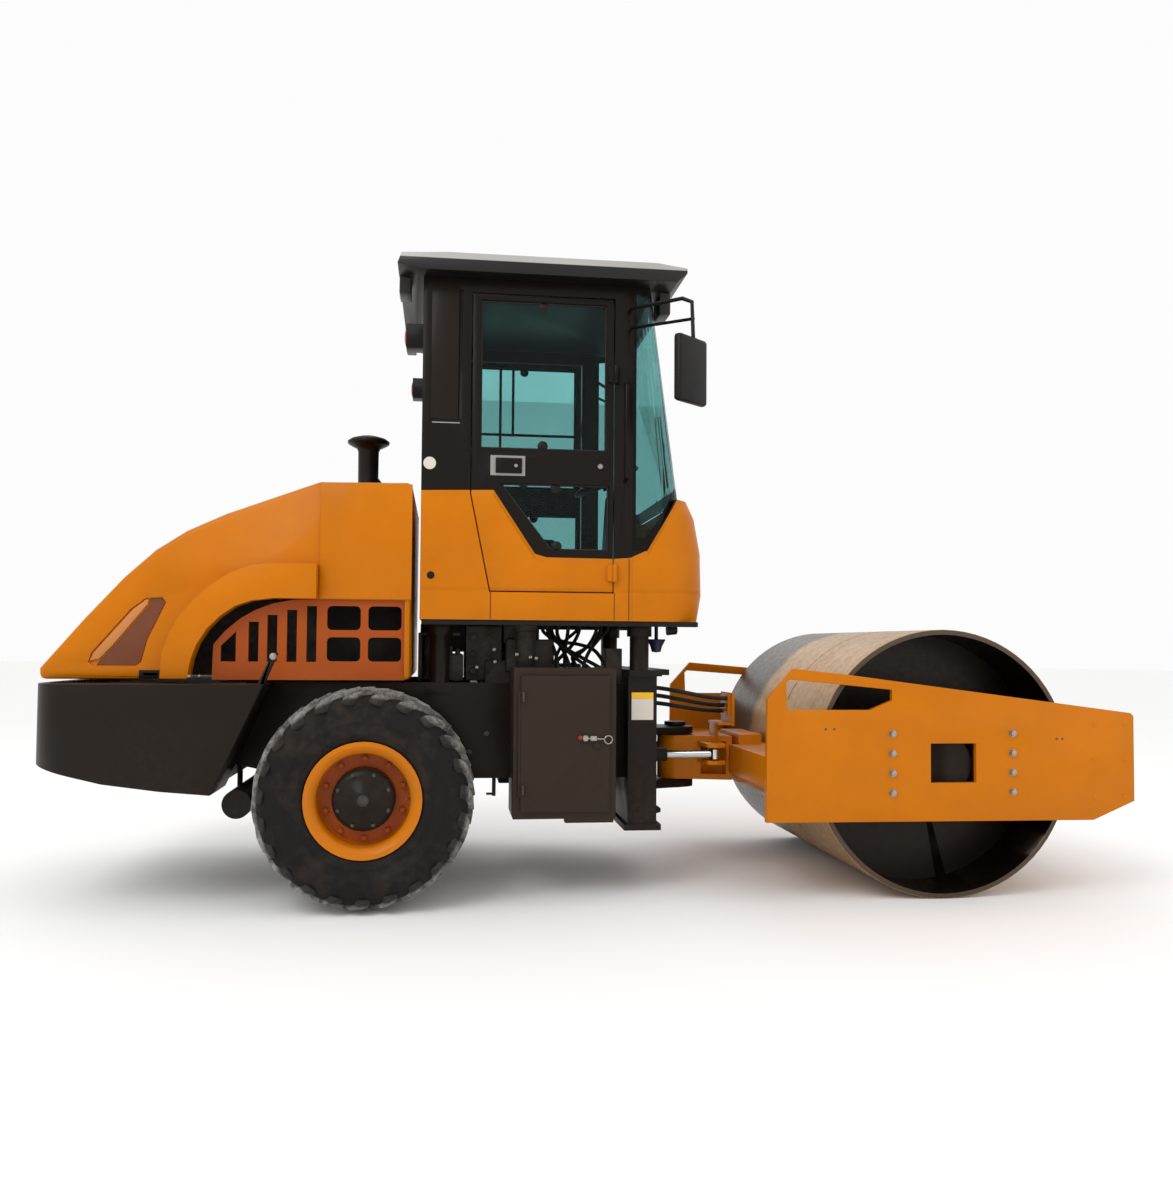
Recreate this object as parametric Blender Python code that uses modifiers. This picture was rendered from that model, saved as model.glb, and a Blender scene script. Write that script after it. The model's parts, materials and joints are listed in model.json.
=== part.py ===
# Single-drum road roller with a cab, hinged in the middle.
# +X points forward, towards the drum; +Y is the machine's left side; the ground is Z = 0.
# Metres throughout. "side" is -1 on the right and +1 on the left.
import math

import bpy
import bmesh
from mathutils import Matrix, Vector

# ---------------------------------------------------------------- overall sizes
HITCH_X = 0.527
AXLE_X = -1.133
FIT = 0.0003
RUN = 0.006

# wheels
TYRE_R = 0.52
TYRE_W = 0.41
RIM_R = 0.262
WHEEL_Y = 0.745
HUB_R = 0.145
AXLE_R = 0.085
LIFT = 2 * TYRE_R - 1.04
CHASSIS_REAR_X = AXLE_X - TYRE_R - 0.197

# drum
DRUM_R = 0.666
DRUM_W = 1.72
DRUM_WALL = 0.025
DRUM_WEB_Y = 0.52
DRUM_BORE_R = 0.20
VIB_R = 0.16
SCRAPER_GAP = 0.012

# drum frame: the plates run from behind the rear beam to the front beam, and the drum turns between
PLATE_Y = 0.925
PLATE_T = 0.030
PLATE_REAR_X = HITCH_X + 0.243
LEFT_PLATE_EXTRA = 0.08
BEAM_DEPTH = 0.22
BEAM_GAP = 0.037
DRUM_X = PLATE_REAR_X + 0.010 + BEAM_DEPTH + BEAM_GAP + DRUM_R
FRONT_GAP = 0.074
FRONT_BEAM_DEPTH = 0.21
PLATE_FRONT_X = DRUM_X + DRUM_R + FRONT_GAP + FRONT_BEAM_DEPTH + 0.025
BEAM_Z0 = 0.555
BEAM_Z1 = 0.707
TONGUE_HALF = 0.17

# hitch
HITCH_PIN_R = 0.04
YOKE_Z0 = 0.505
YOKE_Z1 = 0.745
LUG_T = 0.04
LUG_R = 0.10
OSC_Z = 0.625
OSC_R = 0.075

# rear frame
SIDE_Y = 0.50
SIDE_T = 0.03
FRAME_Z0 = 0.567
FRAME_Z1 = 1.047
NOTCH_Z = 0.66
HOSE_R = 0.012
HOSE_Y = (-0.190, -0.135, -0.080)
HOSE_BOW = 0.05
HOSE_GAP = 0.0015
HOSE_POINTS = 12
POST_X0 = 0.153
POST_X1 = 0.300
POST_Y = 0.60
POST_Z0 = 0.335
POST_Z1 = 1.096
REAR_X = -2.640
WEIGHT_Y = 0.85
WEIGHT_CORNER = 0.20

# boxes under the cab
BOX_X0 = -0.440
BOX_X1 = 0.056
BOX_Y1 = 0.82
BOX_Z0 = 0.41
BOX_Z1 = 1.128
BOX_WALL = 0.02

# hood
HOOD_Y = 0.66
HOOD_T = 0.02
HOOD_Z0 = 1.062
HOOD_FRONT_X = -0.935
FLARE_Y = 0.735
HOOD_HINGE_X = -2.660
HOOD_HINGE_Z = 1.080
HINGE_R = 0.018

# cab
CAB_Y = 0.66
CAB_T = 0.045
CAB_REAR_X = -0.894
CAB_PILLAR_X = 0.160
CAB_FRONT_X = 0.560
CAB_Z0 = 1.362
CAB_FLOOR_T = 0.06
SEAT_BASE_H = 0.28
CAB_BELT_Z = 1.985
CAB_DIP_Z = 1.715
CAB_DIP_X = 0.235
CAB_PEAK_X = 0.385
CAB_TOP_Z = 3.060
ROOF_Z1 = 3.150
ROOF_Y = 0.76
ROOF_X0 = -1.020
ROOF_X1 = 0.415
GLASS_T = 0.008
DOOR_GAP = 0.006

MERGE = 1e-5

collection = None
helpers = None


def start():
    global collection, helpers
    for obj in list(bpy.data.objects):
        bpy.data.objects.remove(obj, do_unlink=True)
    collection = bpy.data.collections.new("Road roller")
    helpers = bpy.data.collections.new("Cutters")
    bpy.context.scene.collection.children.link(collection)
    bpy.context.scene.collection.children.link(helpers)


def material(name, colour, roughness, metallic=0.0, alpha=1.0):
    found = bpy.data.materials.get(name)
    if found:
        return found
    made = bpy.data.materials.new(name)
    made.use_nodes = True
    shader = made.node_tree.nodes["Principled BSDF"]
    shader.inputs["Base Color"].default_value = (*colour, 1.0)
    shader.inputs["Roughness"].default_value = roughness
    shader.inputs["Metallic"].default_value = metallic
    shader.inputs["Alpha"].default_value = alpha
    made.diffuse_color = (*colour, 1.0)
    return made


def yellow(name):
    return material(name, (0.62, 0.22, 0.006), 0.35)


def black(name):
    return material(name, (0.022, 0.018, 0.015), 0.4)


def steel(name):
    return material(name, (0.11, 0.09, 0.07), 0.45, 0.8)


def glass(name):
    return material(name, (0.10, 0.25, 0.26), 0.05, 0.0, 0.35)


# ---------------------------------------------------------------- shapes
def mesh_object(name, bm):
    mesh = bpy.data.meshes.new(name)
    if bm.calc_volume(signed=True) < 0:
        bmesh.ops.reverse_faces(bm, faces=bm.faces)
    bm.to_mesh(mesh)
    bm.free()
    obj = bpy.data.objects.new(name, mesh)
    helpers.objects.link(obj)
    obj.hide_render = True
    obj.display_type = "WIRE"
    return obj


def box(low, high, name="helper"):
    bm = bmesh.new()
    bmesh.ops.create_cube(bm, size=1.0)
    size = [b - a for a, b in zip(low, high)]
    middle = [(a + b) / 2 for a, b in zip(low, high)]
    bmesh.ops.scale(bm, vec=size, verts=bm.verts)
    bmesh.ops.translate(bm, vec=middle, verts=bm.verts)
    return mesh_object(name, bm)


def side_box(side, x, y, z, name="helper"):
    """A box on one side of the machine: y gives distances out from the middle plane."""
    ys = sorted(side * v for v in y)
    return box((x[0], ys[0], z[0]), (x[1], ys[1], z[1]), name)


AXIS_TURN = {
    "X": Matrix.Rotation(math.radians(90), 4, "Y"),
    "Y": Matrix.Rotation(math.radians(-90), 4, "X"),
    "Z": Matrix.Identity(4),
}


def cylinder(centre, radius, length, axis, sides=24, top=None, name="helper"):
    bm = bmesh.new()
    bmesh.ops.create_cone(
        bm,
        cap_ends=True,
        segments=sides,
        radius1=radius,
        radius2=radius if top is None else top,
        depth=length,
    )
    bmesh.ops.transform(bm, matrix=Matrix.Translation(centre) @ AXIS_TURN[axis], verts=bm.verts)
    return mesh_object(name, bm)


def between(start_point, end_point, radius, sides=12, name="helper"):
    """A round bar from one point to another."""
    a = Vector(start_point)
    b = Vector(end_point)
    turn = (b - a).to_track_quat("Z", "Y").to_matrix().to_4x4()
    bm = bmesh.new()
    bmesh.ops.create_cone(
        bm, cap_ends=True, segments=sides, radius1=radius, radius2=radius, depth=(b - a).length
    )
    bmesh.ops.transform(bm, matrix=Matrix.Translation((a + b) / 2) @ turn, verts=bm.verts)
    return mesh_object(name, bm)


def extruded(points, low, high, axis="Y", name="helper"):
    """A flat outline pushed along one axis. Points are (x, z) for Y, (x, y) for Z and (y, z) for X."""
    bm = bmesh.new()
    place = {
        "Y": lambda p, v: (p[0], v, p[1]),
        "Z": lambda p, v: (p[0], p[1], v),
        "X": lambda p, v: (v, p[0], p[1]),
    }[axis]
    first = [bm.verts.new(place(p, low)) for p in points]
    face = bm.faces.new(first)
    made = bmesh.ops.extrude_face_region(bm, geom=[face])
    moved = [v for v in made["geom"] if isinstance(v, bmesh.types.BMVert)]
    step = Vector(place((0, 0), high)) - Vector(place((0, 0), low))
    bmesh.ops.translate(bm, vec=step, verts=moved)
    bmesh.ops.recalc_face_normals(bm, faces=bm.faces)
    return mesh_object(name, bm)


def side_extruded(side, points, y, name="helper"):
    ys = sorted(side * v for v in y)
    return extruded(points, ys[0], ys[1], "Y", name)


def turned(profile, steps=48, name="helper"):
    """A profile of (radius, height) points, closed on itself or on the axis, turned about Z."""
    bm = bmesh.new()
    verts = [bm.verts.new((r, 0, h)) for r, h in profile]
    on_axis = profile[0][0] == 0 and profile[-1][0] == 0
    for a, b in zip(verts, verts[1:]):
        bm.edges.new((a, b))
    if not on_axis:
        bm.edges.new((verts[-1], verts[0]))
    bmesh.ops.spin(
        bm,
        geom=list(bm.verts) + list(bm.edges),
        axis=(0, 0, 1),
        cent=(0, 0, 0),
        angle=2 * math.pi,
        steps=steps,
        use_merge=True,
    )
    bmesh.ops.remove_doubles(bm, verts=bm.verts, dist=MERGE)
    bmesh.ops.recalc_face_normals(bm, faces=bm.faces)
    return mesh_object(name, bm)


def turned_y(side, profile, centre, steps=48):
    """A turned shape whose height runs outwards along the Y axis."""
    obj = turned(profile, steps)
    turn = Matrix.Rotation(math.radians(-90 * side), 4, "X")
    obj.data.transform(Matrix.Translation(centre) @ turn)
    return obj


def tube(points, radius, name="helper", sides=10, smooth=True):
    """A bent tube through the points, as one closed mesh."""
    curve = bpy.data.curves.new(name, "CURVE")
    curve.dimensions = "3D"
    curve.bevel_depth = radius
    curve.bevel_resolution = max(0, sides // 2 - 2)
    curve.use_fill_caps = True
    line = curve.splines.new("POLY")
    line.points.add(len(points) - 1)
    for slot, p in zip(line.points, points):
        slot.co = (*p, 1.0)
    temp = bpy.data.objects.new(name, curve)
    helpers.objects.link(temp)
    bpy.context.view_layer.update()
    graph = bpy.context.evaluated_depsgraph_get()
    mesh = bpy.data.meshes.new_from_object(temp.evaluated_get(graph))
    bm = bmesh.new()
    bm.from_mesh(mesh)
    bmesh.ops.remove_doubles(bm, verts=bm.verts, dist=MERGE)
    bmesh.ops.recalc_face_normals(bm, faces=bm.faces)
    bpy.data.objects.remove(temp, do_unlink=True)
    bpy.data.meshes.remove(mesh)
    return mesh_object(name, bm)


def arc(centre, radius, start_deg, end_deg, count):
    points = []
    for i in range(count + 1):
        angle = math.radians(start_deg + (end_deg - start_deg) * i / count)
        points.append((centre[0] + radius * math.cos(angle), centre[1] + radius * math.sin(angle)))
    return points


def boolean(target, operation, other):
    change = target.modifiers.new(operation.lower(), "BOOLEAN")
    change.operation = operation
    change.solver = "EXACT"
    change.object = other


def part(name, base, finish, add=(), cut=(), origin=None, bevel=0.0):
    """Makes a node of a base shape: united with the shapes in add, then cut by those in cut."""
    base.name = name
    base.data.name = name
    helpers.objects.unlink(base)
    collection.objects.link(base)
    base.hide_render = False
    base.display_type = "TEXTURED"
    base.data.materials.clear()
    base.data.materials.append(finish)
    if bevel:
        edge = base.modifiers.new("bevel", "BEVEL")
        edge.width = bevel
        edge.segments = 2
        edge.limit_method = "ANGLE"
    for other in add:
        boolean(base, "UNION", other)
    for other in cut:
        boolean(base, "DIFFERENCE", other)
    if origin is not None:
        shift = Vector(origin)
        base.data.transform(Matrix.Translation(-shift))
        base.location = shift
    return base


# ---------------------------------------------------------------- wheels and rear axle
def wheel(side):
    tag = "right" if side < 0 else "left"
    centre = (AXLE_X, side * WHEEL_Y, TYRE_R)
    half = TYRE_W / 2
    bead = RIM_R + FIT
    tyre = turned_y(
        side,
        [
            (bead, half - 0.045),
            (bead + 0.03, half - 0.025),
            (0.40, half),
            (TYRE_R - 0.045, half - 0.012),
            (TYRE_R - 0.008, half - 0.055),
            (TYRE_R, half - 0.10),
            (TYRE_R, 0.10 - half),
            (TYRE_R - 0.008, 0.055 - half),
            (TYRE_R - 0.045, 0.012 - half),
            (0.40, -half),
            (bead + 0.03, 0.025 - half),
            (bead, 0.045 - half),
        ],
        centre,
        48,
    )
    part("tyre_" + tag, tyre, material("tyre", (0.012, 0.011, 0.010), 0.85), origin=centre)
    lip = half - 0.045 + 0.0065
    rim = turned_y(
        side,
        [
            (0, 0.060),
            (HUB_R + 0.07, 0.060),
            (RIM_R - 0.045, lip),
            (RIM_R - 0.012, lip + 0.014),
            (RIM_R + 0.008, lip + 0.014),
            (RIM_R + 0.008, lip),
            (RIM_R, lip),
            (RIM_R, -lip),
            (RIM_R + 0.008, -lip),
            (RIM_R + 0.008, -lip - 0.014),
            (RIM_R - 0.02, -lip - 0.014),
            (RIM_R - 0.045, -0.01),
            (HUB_R + 0.02, -0.02),
            (HUB_R + 0.02, -0.09),
            (0, -0.09),
        ],
        centre,
        48,
    )
    part("rim_" + tag, rim, yellow("rim_paint"), origin=centre)
    hub = turned_y(
        side,
        [
            (0, 0.175),
            (0.055, 0.175),
            (0.060, 0.168),
            (0.110, 0.160),
            (HUB_R - 0.012, 0.150),
            (HUB_R, 0.135),
            (HUB_R, 0.060 + FIT),
            (0, 0.060 + FIT),
        ],
        centre,
        36,
    )
    part("hub_" + tag, hub, black("hub_paint"), origin=centre)


def rear_axle():
    reach = WHEEL_Y - 0.09 - RUN
    beam = cylinder((AXLE_X, 0, TYRE_R), AXLE_R, 2 * reach, "Y", 24)
    diff = cylinder((AXLE_X, 0, TYRE_R), 0.19, 0.26, "Y", 24)
    nose = cylinder((AXLE_X + 0.17, 0, TYRE_R), 0.10, 0.24, "X", 20)
    flanges = [
        cylinder((AXLE_X, s * (reach - 0.02), TYRE_R), 0.13, 0.04, "Y", 24) for s in (-1, 1)
    ]
    pads = [
        box((AXLE_X - 0.09, s * 0.42 - 0.05, TYRE_R + 0.03), (AXLE_X + 0.09, s * 0.42 + 0.05, NOTCH_Z + LIFT - FIT))
        for s in (-1, 1)
    ]
    part("rear_axle", beam, black("axle_paint"), add=[diff, nose, *flanges, *pads])


# ---------------------------------------------------------------- rear frame
def chassis():
    outline = [
        (CHASSIS_REAR_X, FRAME_Z1),
        (CHASSIS_REAR_X, NOTCH_Z),
        (AXLE_X - 0.30, FRAME_Z0),
        (AXLE_X - 0.20, NOTCH_Z),
        (AXLE_X + 0.20, NOTCH_Z),
        (AXLE_X + 0.30, FRAME_Z0),
        (POST_X0 - FIT, FRAME_Z0),
        (POST_X0 - FIT, FRAME_Z1),
    ]
    right = side_extruded(-1, outline, (SIDE_Y - SIDE_T, SIDE_Y))
    left = side_extruded(1, outline, (SIDE_Y - SIDE_T, SIDE_Y))
    inner = SIDE_Y - SIDE_T / 2
    floor = box((-0.60, -inner, FRAME_Z0 + 0.001), (POST_X0 - 0.002, inner, FRAME_Z0 + 0.02))
    cross = [
        box((x, -inner, 0.72), (x + 0.04, inner, FRAME_Z1 - 0.02))
        for x in (CHASSIS_REAR_X + 0.010, AXLE_X + 0.513)
    ]
    legs = []
    for side in (-1, 1):
        y = side * 0.43
        x = CAB_REAR_X + 0.10
        legs.append(box((x - 0.07, y - 0.075, FRAME_Z1 - 0.06), (x + 0.07, y + 0.060, FRAME_Z1 - 0.004)))
        legs += cab_mount(x, y, FRAME_Z1 - 0.01)
        y = side * CYL_Y
        legs.append(
            box((CYL_BACK_X - 0.075, y - 0.05, FRAME_Z0 + 0.01), (CYL_BACK_X - 0.050, y + 0.05, CYL_Z + 0.060))
        )
        for z in (CYL_Z + 0.035, CYL_Z - 0.055):
            legs.append(box((CYL_BACK_X - 0.06, y - 0.045, z), (CYL_BACK_X + 0.03, y + 0.045, z + 0.02)))
    part("rear_chassis", right, black("chassis_paint"), add=[left, floor, *cross, *legs])


def cab_mount(x, y, low):
    """A leg with a rubber mount on it, up to the cab's floor."""
    high = CAB_Z0 - FIT
    return [
        cylinder((x, y, (low + high - 0.07) / 2), 0.05, high - 0.07 - low, "Z", 12),
        cylinder((x, y, high - 0.0375), 0.065, 0.075, "Z", 16),
    ]


def hitch_post():
    """The upright box at the frame's front end, with the two lugs that carry the hitch."""
    post = box((POST_X0, -POST_Y, POST_Z0), (POST_X1, POST_Y, POST_Z1))
    top = box((POST_X0 + FIT, -POST_Y - 0.03, POST_Z1 - 0.01), (POST_X1 + 0.02, POST_Y + 0.03, POST_Z1 + 0.02))
    top_nose = box((POST_X1, -0.40, POST_Z1 - 0.01), (POST_X1 + 0.107, 0.40, POST_Z1 + 0.02))
    foot = box((POST_X0 - 0.02, -POST_Y - 0.02, POST_Z0 - 0.02), (POST_X1 + 0.02, POST_Y + 0.02, POST_Z0 + 0.01))
    toe = extruded(
        [
            (POST_X1 - 0.02, POST_Z0 - 0.01),
            (POST_X1 + 0.085, POST_Z0 + 0.02),
            (POST_X1 + 0.085, POST_Z0 + 0.04),
            (POST_X1 - 0.02, POST_Z0 + 0.085),
        ],
        -0.30,
        0.30,
        "Y",
    )
    lugs = []
    for z in (YOKE_Z1 + RUN, YOKE_Z0 - RUN - LUG_T):
        lugs.append(
            extruded(
                [(POST_X1 - 0.05, -0.20), (POST_X1 - 0.05, 0.20)]
                + list(reversed(arc((HITCH_X, 0), LUG_R, -80, 80, 12))),
                z,
                z + LUG_T,
                "Z",
            )
        )
    low = YOKE_Z0 - RUN - LUG_T - 0.01
    high = YOKE_Z1 + RUN + LUG_T + 0.01
    pin = cylinder((HITCH_X, 0, (low + high) / 2), HITCH_PIN_R, high - low, "Z", 24)
    head = cylinder((HITCH_X, 0, high + 0.005), HITCH_PIN_R + 0.02, 0.02, "Z", 24)
    clamp = box((POST_X1 - 0.01, HOSE_Y[0] - 0.028, 0.90), (POST_X1 + 0.016, HOSE_Y[2] + 0.028, 1.04))
    mounts = []
    holes = []
    for side in (-1, 1):
        mounts += cab_mount((POST_X0 + POST_X1) / 2, side * 0.50, POST_Z1 + 0.01)
        holes.append(
            side_box(
                side,
                (POST_X0 - 0.05, POST_X1 + 0.05),
                (CYL_Y - 0.12, CYL_Y + 0.12),
                (CYL_Z - 0.065, CYL_Z + 0.065),
            )
        )
    part(
        "hitch_post",
        post,
        black("post_paint"),
        add=[top, top_nose, foot, toe, clamp, *lugs, pin, head, *mounts],
        cut=holes,
    )


def counterweight():
    top = FRAME_Z1
    front = AXLE_X - TYRE_R - 0.172
    outline = [
        (REAR_X, top),
        (REAR_X, 0.68),
        (REAR_X + 0.34, 0.595),
        (REAR_X + 0.59, 0.56),
        (front, 0.54),
        (front + 0.225, top),
    ]
    body = extruded(outline, -WEIGHT_Y, WEIGHT_Y, "Y")
    r = WEIGHT_CORNER
    plan = (
        [(-1.2, -WEIGHT_Y - 0.01), (-1.2, WEIGHT_Y + 0.01)]
        + arc((REAR_X + r, WEIGHT_Y - r), r, 90, 180, 8)
        + arc((REAR_X + r, r - WEIGHT_Y), r, 180, 270, 8)
    )
    keep = extruded(plan, 0.2, 1.5, "Z")
    clear = box((CHASSIS_REAR_X - 0.01, -SIDE_Y - FIT, 0.4), (AXLE_X, SIDE_Y + FIT, 1.2))
    made = part("counterweight", body, black("weight_paint"), cut=[clear])
    boolean(made, "INTERSECT", keep)
    for side in (-1, 1):
        strut = side_extruded(
            side,
            [(front - 0.005, 0.60), (front + 0.04, 0.60), (front + 0.29, 1.193), (front + 0.265, 1.193)],
            (WEIGHT_Y - 0.04, WEIGHT_Y - 0.005),
        )
        boolean(made, "UNION", strut)


def engine():
    body = box((AXLE_X - 0.987, -0.33, 1.075), (AXLE_X + 0.10, 0.33, 1.46))
    sump = box((AXLE_X - 0.647, -0.26, 0.74), (AXLE_X + 0.09, 0.26, 1.09))
    part("engine_block", body, material("engine_iron", (0.03, 0.03, 0.03), 0.6, 0.3), add=[sump])


def air_tank():
    body = cylinder((AXLE_X - TYRE_R - 0.082, 0, 0.478), 0.068, 1.40, "Y", 24)
    straps = [
        box((AXLE_X - TYRE_R - 0.15, s * 0.30 - 0.02, 0.47), (AXLE_X - TYRE_R - 0.13, s * 0.30 + 0.02, 0.72 - FIT))
        for s in (-1, 1)
    ]
    part("air_tank", body, black("tank_paint"), add=straps)


def boxes():
    # Right: battery box, hollow, with a door in its outer side. Left: oil tank of the same size.
    gap = SIDE_Y + FIT
    shell = side_box(-1, (BOX_X0, BOX_X1), (gap, BOX_Y1), (BOX_Z0, BOX_Z1))
    hollow = side_box(
        -1, (BOX_X0 + 0.06, BOX_X1 - 0.06), (gap + BOX_WALL, BOX_Y1 + 0.01), (BOX_Z0 + 0.06, BOX_Z1 - 0.06)
    )
    skirt = side_box(-1, (BOX_X0 + 0.25, BOX_X1 - 0.01), (BOX_Y1 - 0.05, BOX_Y1), (BOX_Z0 - 0.02, BOX_Z0 + 0.01))
    part("battery_box", shell, black("box_paint"), add=[skirt], cut=[hollow])
    door = side_box(
        -1,
        (BOX_X0 + 0.035, BOX_X1 - 0.035),
        (BOX_Y1 + RUN, BOX_Y1 + RUN + 0.018),
        (BOX_Z0 + 0.035, BOX_Z1 - 0.035),
    )
    barrel = cylinder(
        (BOX_X0 + 0.028, -BOX_Y1 - RUN - 0.009, (BOX_Z0 + BOX_Z1) / 2), 0.009, 0.50, "Z", 12
    )
    lock = cylinder((BOX_X1 - 0.10, -BOX_Y1 - RUN - 0.022, 0.76), 0.016, 0.02, "Y", 16)
    part(
        "battery_box_door",
        door,
        black("box_door_paint"),
        add=[barrel, lock],
        origin=(BOX_X0 + 0.028, -BOX_Y1 - RUN - 0.009, (BOX_Z0 + BOX_Z1) / 2),
    )
    tank = side_box(1, (BOX_X0, BOX_X1), (gap, BOX_Y1), (BOX_Z0, BOX_Z1))
    step = side_box(1, (BOX_X0 + 0.06, BOX_X1 - 0.06), (BOX_Y1 - 0.14, BOX_Y1 + 0.01), (0.66, 0.84))
    part("oil_tank", tank, black("oil_tank_paint"), cut=[step])


def valve_block():
    body = box((-0.56, -0.30, FRAME_Z0 + 0.03), (-0.20, 0.30, 1.16))
    valve = box((-0.45, -0.36, 1.10), (-0.20, 0.10, 1.27))
    part("pump_block", body, material("pump_iron", (0.05, 0.05, 0.05), 0.5, 0.4), add=[valve])


# ---------------------------------------------------------------- hood
def hood_profile(inset=0.0):
    pts = [
        (-2.648, HOOD_Z0),
        (-2.650, 1.115),
        (-2.455, 1.351),
        (-2.280, 1.548),
        (-2.140, 1.679),
        (-2.000, 1.773),
        (-1.817, 1.860),
        (-1.582, 1.948),
        (-1.380, 2.025),
        (HOOD_FRONT_X, 2.032),
        (HOOD_FRONT_X, HOOD_Z0),
    ]
    if not inset:
        return pts
    made = []
    for i in range(1, len(pts) - 1):
        a, b, c = (Vector(pts[j]) for j in (i - 1, i, i + 1))
        n1 = Vector(((b - a).y, -(b - a).x)).normalized()
        n2 = Vector(((c - b).y, -(c - b).x)).normalized()
        n = (n1 + n2) / max(0.4, 1 + n1.dot(n2))
        made.append((b.x + n.x * inset, b.y + n.y * inset))
    return [(made[0][0], HOOD_Z0 - 0.1), *made, (made[-1][0], HOOD_Z0 - 0.1)]


def hood():
    outer = extruded(hood_profile(), -HOOD_Y, HOOD_Y, "Y")
    inner = extruded(hood_profile(HOOD_T), -HOOD_Y + HOOD_T, HOOD_Y - HOOD_T, "Y")
    flares = []
    openings = []
    for side in (-1, 1):
        flares.append(side_extruded(side, flare_outline(), (HOOD_Y - HOOD_T / 2, FLARE_Y)))
        openings.append(side_extruded(side, arch_outline(), (HOOD_Y - 0.1, FLARE_Y + 0.1)))
    barrels = [
        cylinder((HOOD_HINGE_X, s * 0.40, HOOD_HINGE_Z), HINGE_R, 0.12, "Y", 16) for s in (-1, 1)
    ]
    made = part("hood_shell", outer, yellow("hood_paint"))
    made.modifiers.clear()
    edge = made.modifiers.new("bevel", "BEVEL")
    edge.width = 0.025
    edge.segments = 2
    edge.limit_method = "ANGLE"
    edge.angle_limit = math.radians(50)
    boolean(made, "DIFFERENCE", inner)
    for side in (-1, 1):
        flares.append(side_extruded(side, HOOD_BOX, (HOOD_Y - HOOD_T / 2, HOOD_Y + 0.012)))
        openings.append(side_extruded(side, LAMP, (HOOD_Y - HOOD_T + LAMP_SKIN, HOOD_Y + 0.1)))
    for shape in (*flares, *barrels):
        boolean(made, "UNION", shape)
    openings.append(rear_opening(0.0))
    for shape in openings:
        boolean(made, "DIFFERENCE", shape)
    shift = Vector((HOOD_HINGE_X, 0, HOOD_HINGE_Z))
    for obj in (made,):
        obj.data.transform(Matrix.Translation(-shift))
        obj.location = shift
    for side in (-1, 1):
        grille(side)
    rear = rear_opening(FIT)
    slots = [
        box((-3.0, -0.36, z), (-1.5, 0.36, z + 0.022)) for z in [1.32 + 0.048 * i for i in range(6)]
    ]
    boolean(rear, "INTERSECT", hood_layer(0.004, 0.018))
    part("hood_rear_grille", rear, black("rear_grille_paint"), cut=slots)
    cleaner()


def hood_layer(outer, inner):
    """The hood's skin between two depths, as wide as the rear grille."""
    skin_out = extruded(hood_profile(outer), -0.5, 0.5, "Y")
    skin_in = extruded(hood_profile(inner), -0.6, 0.6, "Y")
    boolean(skin_out, "DIFFERENCE", skin_in)
    return skin_out


def rear_opening(gap):
    return box((-3.0, -0.40 + gap, 1.28 + gap), (-1.9, 0.40 - gap, 1.64 - gap))


LAMP_SKIN = 0.005
HOOD_BOX = [(-1.372, 1.456), (HOOD_FRONT_X, 1.456), (HOOD_FRONT_X, 2.020), (-1.372, 2.020)]
LAMP = [
    (-2.430, 1.145),
    (-2.415, 1.190),
    (-2.240, 1.400),
    (-2.175, 1.448),
    (-2.100, 1.455),
    (-2.082, 1.430),
    (-2.163, 1.253),
    (-2.190, 1.145),
    (-2.215, 1.124),
    (-2.405, 1.124),
]


FLARE_INNER = [
    (-1.965, 1.070),
    (-1.950, 1.160),
    (-1.925, 1.231),
    (-1.880, 1.305),
    (-1.823, 1.364),
    (-1.754, 1.413),
    (-1.680, 1.440),
    (-1.578, 1.453),
    (-1.380, 1.453),
]
FLARE_OUTER = [
    (-1.380, 1.620),
    (-1.600, 1.618),
    (-1.690, 1.606),
    (-1.780, 1.570),
    (-1.868, 1.509),
    (-1.940, 1.446),
    (-2.006, 1.363),
    (-2.050, 1.280),
    (-2.080, 1.190),
    (-2.088, 1.070),
]


def flare_outline():
    return FLARE_INNER + FLARE_OUTER


def arch_outline():
    """The opening in the hood's side, under the flare and forward of it."""
    front = HOOD_FRONT_X - 0.03
    return [(FLARE_INNER[0][0], HOOD_Z0 - 0.05)] + FLARE_INNER + [(front, 1.453), (front, HOOD_Z0 - 0.05)]


def grille_outline(gap):
    """The panel inside the wheel arch; its curved rear edge leaves a crescent open behind it."""
    low = HOOD_Z0 + 2 * gap
    high = 1.453 - gap
    front = HOOD_FRONT_X - 0.03
    return [
        (-1.871, low),
        (-1.866, 1.232),
        (-1.816, 1.293),
        (-1.746, 1.355),
        (-1.675, 1.398),
        (-1.592, 1.430),
        (-1.500, high - 0.004),
        (-1.380, high),
        (front, high),
        (front, low),
    ]


def grille(side):
    tag = "right" if side < 0 else "left"
    y = (HOOD_Y - 0.035, HOOD_Y - 0.015)
    panel = side_extruded(side, grille_outline(FIT), y)
    cuts = []
    wide = (HOOD_Y - 0.1, HOOD_Y + 0.1)
    cuts.append(
        side_extruded(side, [(-1.832, 1.150), (-1.832, 1.225), (-1.762, 1.295), (-1.762, 1.150)], wide)
    )
    for x, top in [(-1.704, 1.341), (-1.617, 1.375), (-1.525, 1.400), (-1.432, 1.420)]:
        cuts.append(side_box(side, (x, x + 0.047), wide, (1.150, top)))
    r = 0.022
    for x in (-1.336, -1.140):
        for z in (1.153, 1.305):
            w, h = 0.160, 0.117
            corners = (
                arc((x + r, z + r), r, 180, 270, 3)
                + arc((x + w - r, z + r), r, 270, 360, 3)
                + arc((x + w - r, z + h - r), r, 0, 90, 3)
                + arc((x + r, z + h - r), r, 90, 180, 3)
            )
            cuts.append(side_extruded(side, corners, wide))
    part("hood_grille_" + tag, panel, yellow("grille_paint"), cut=cuts)


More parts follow.
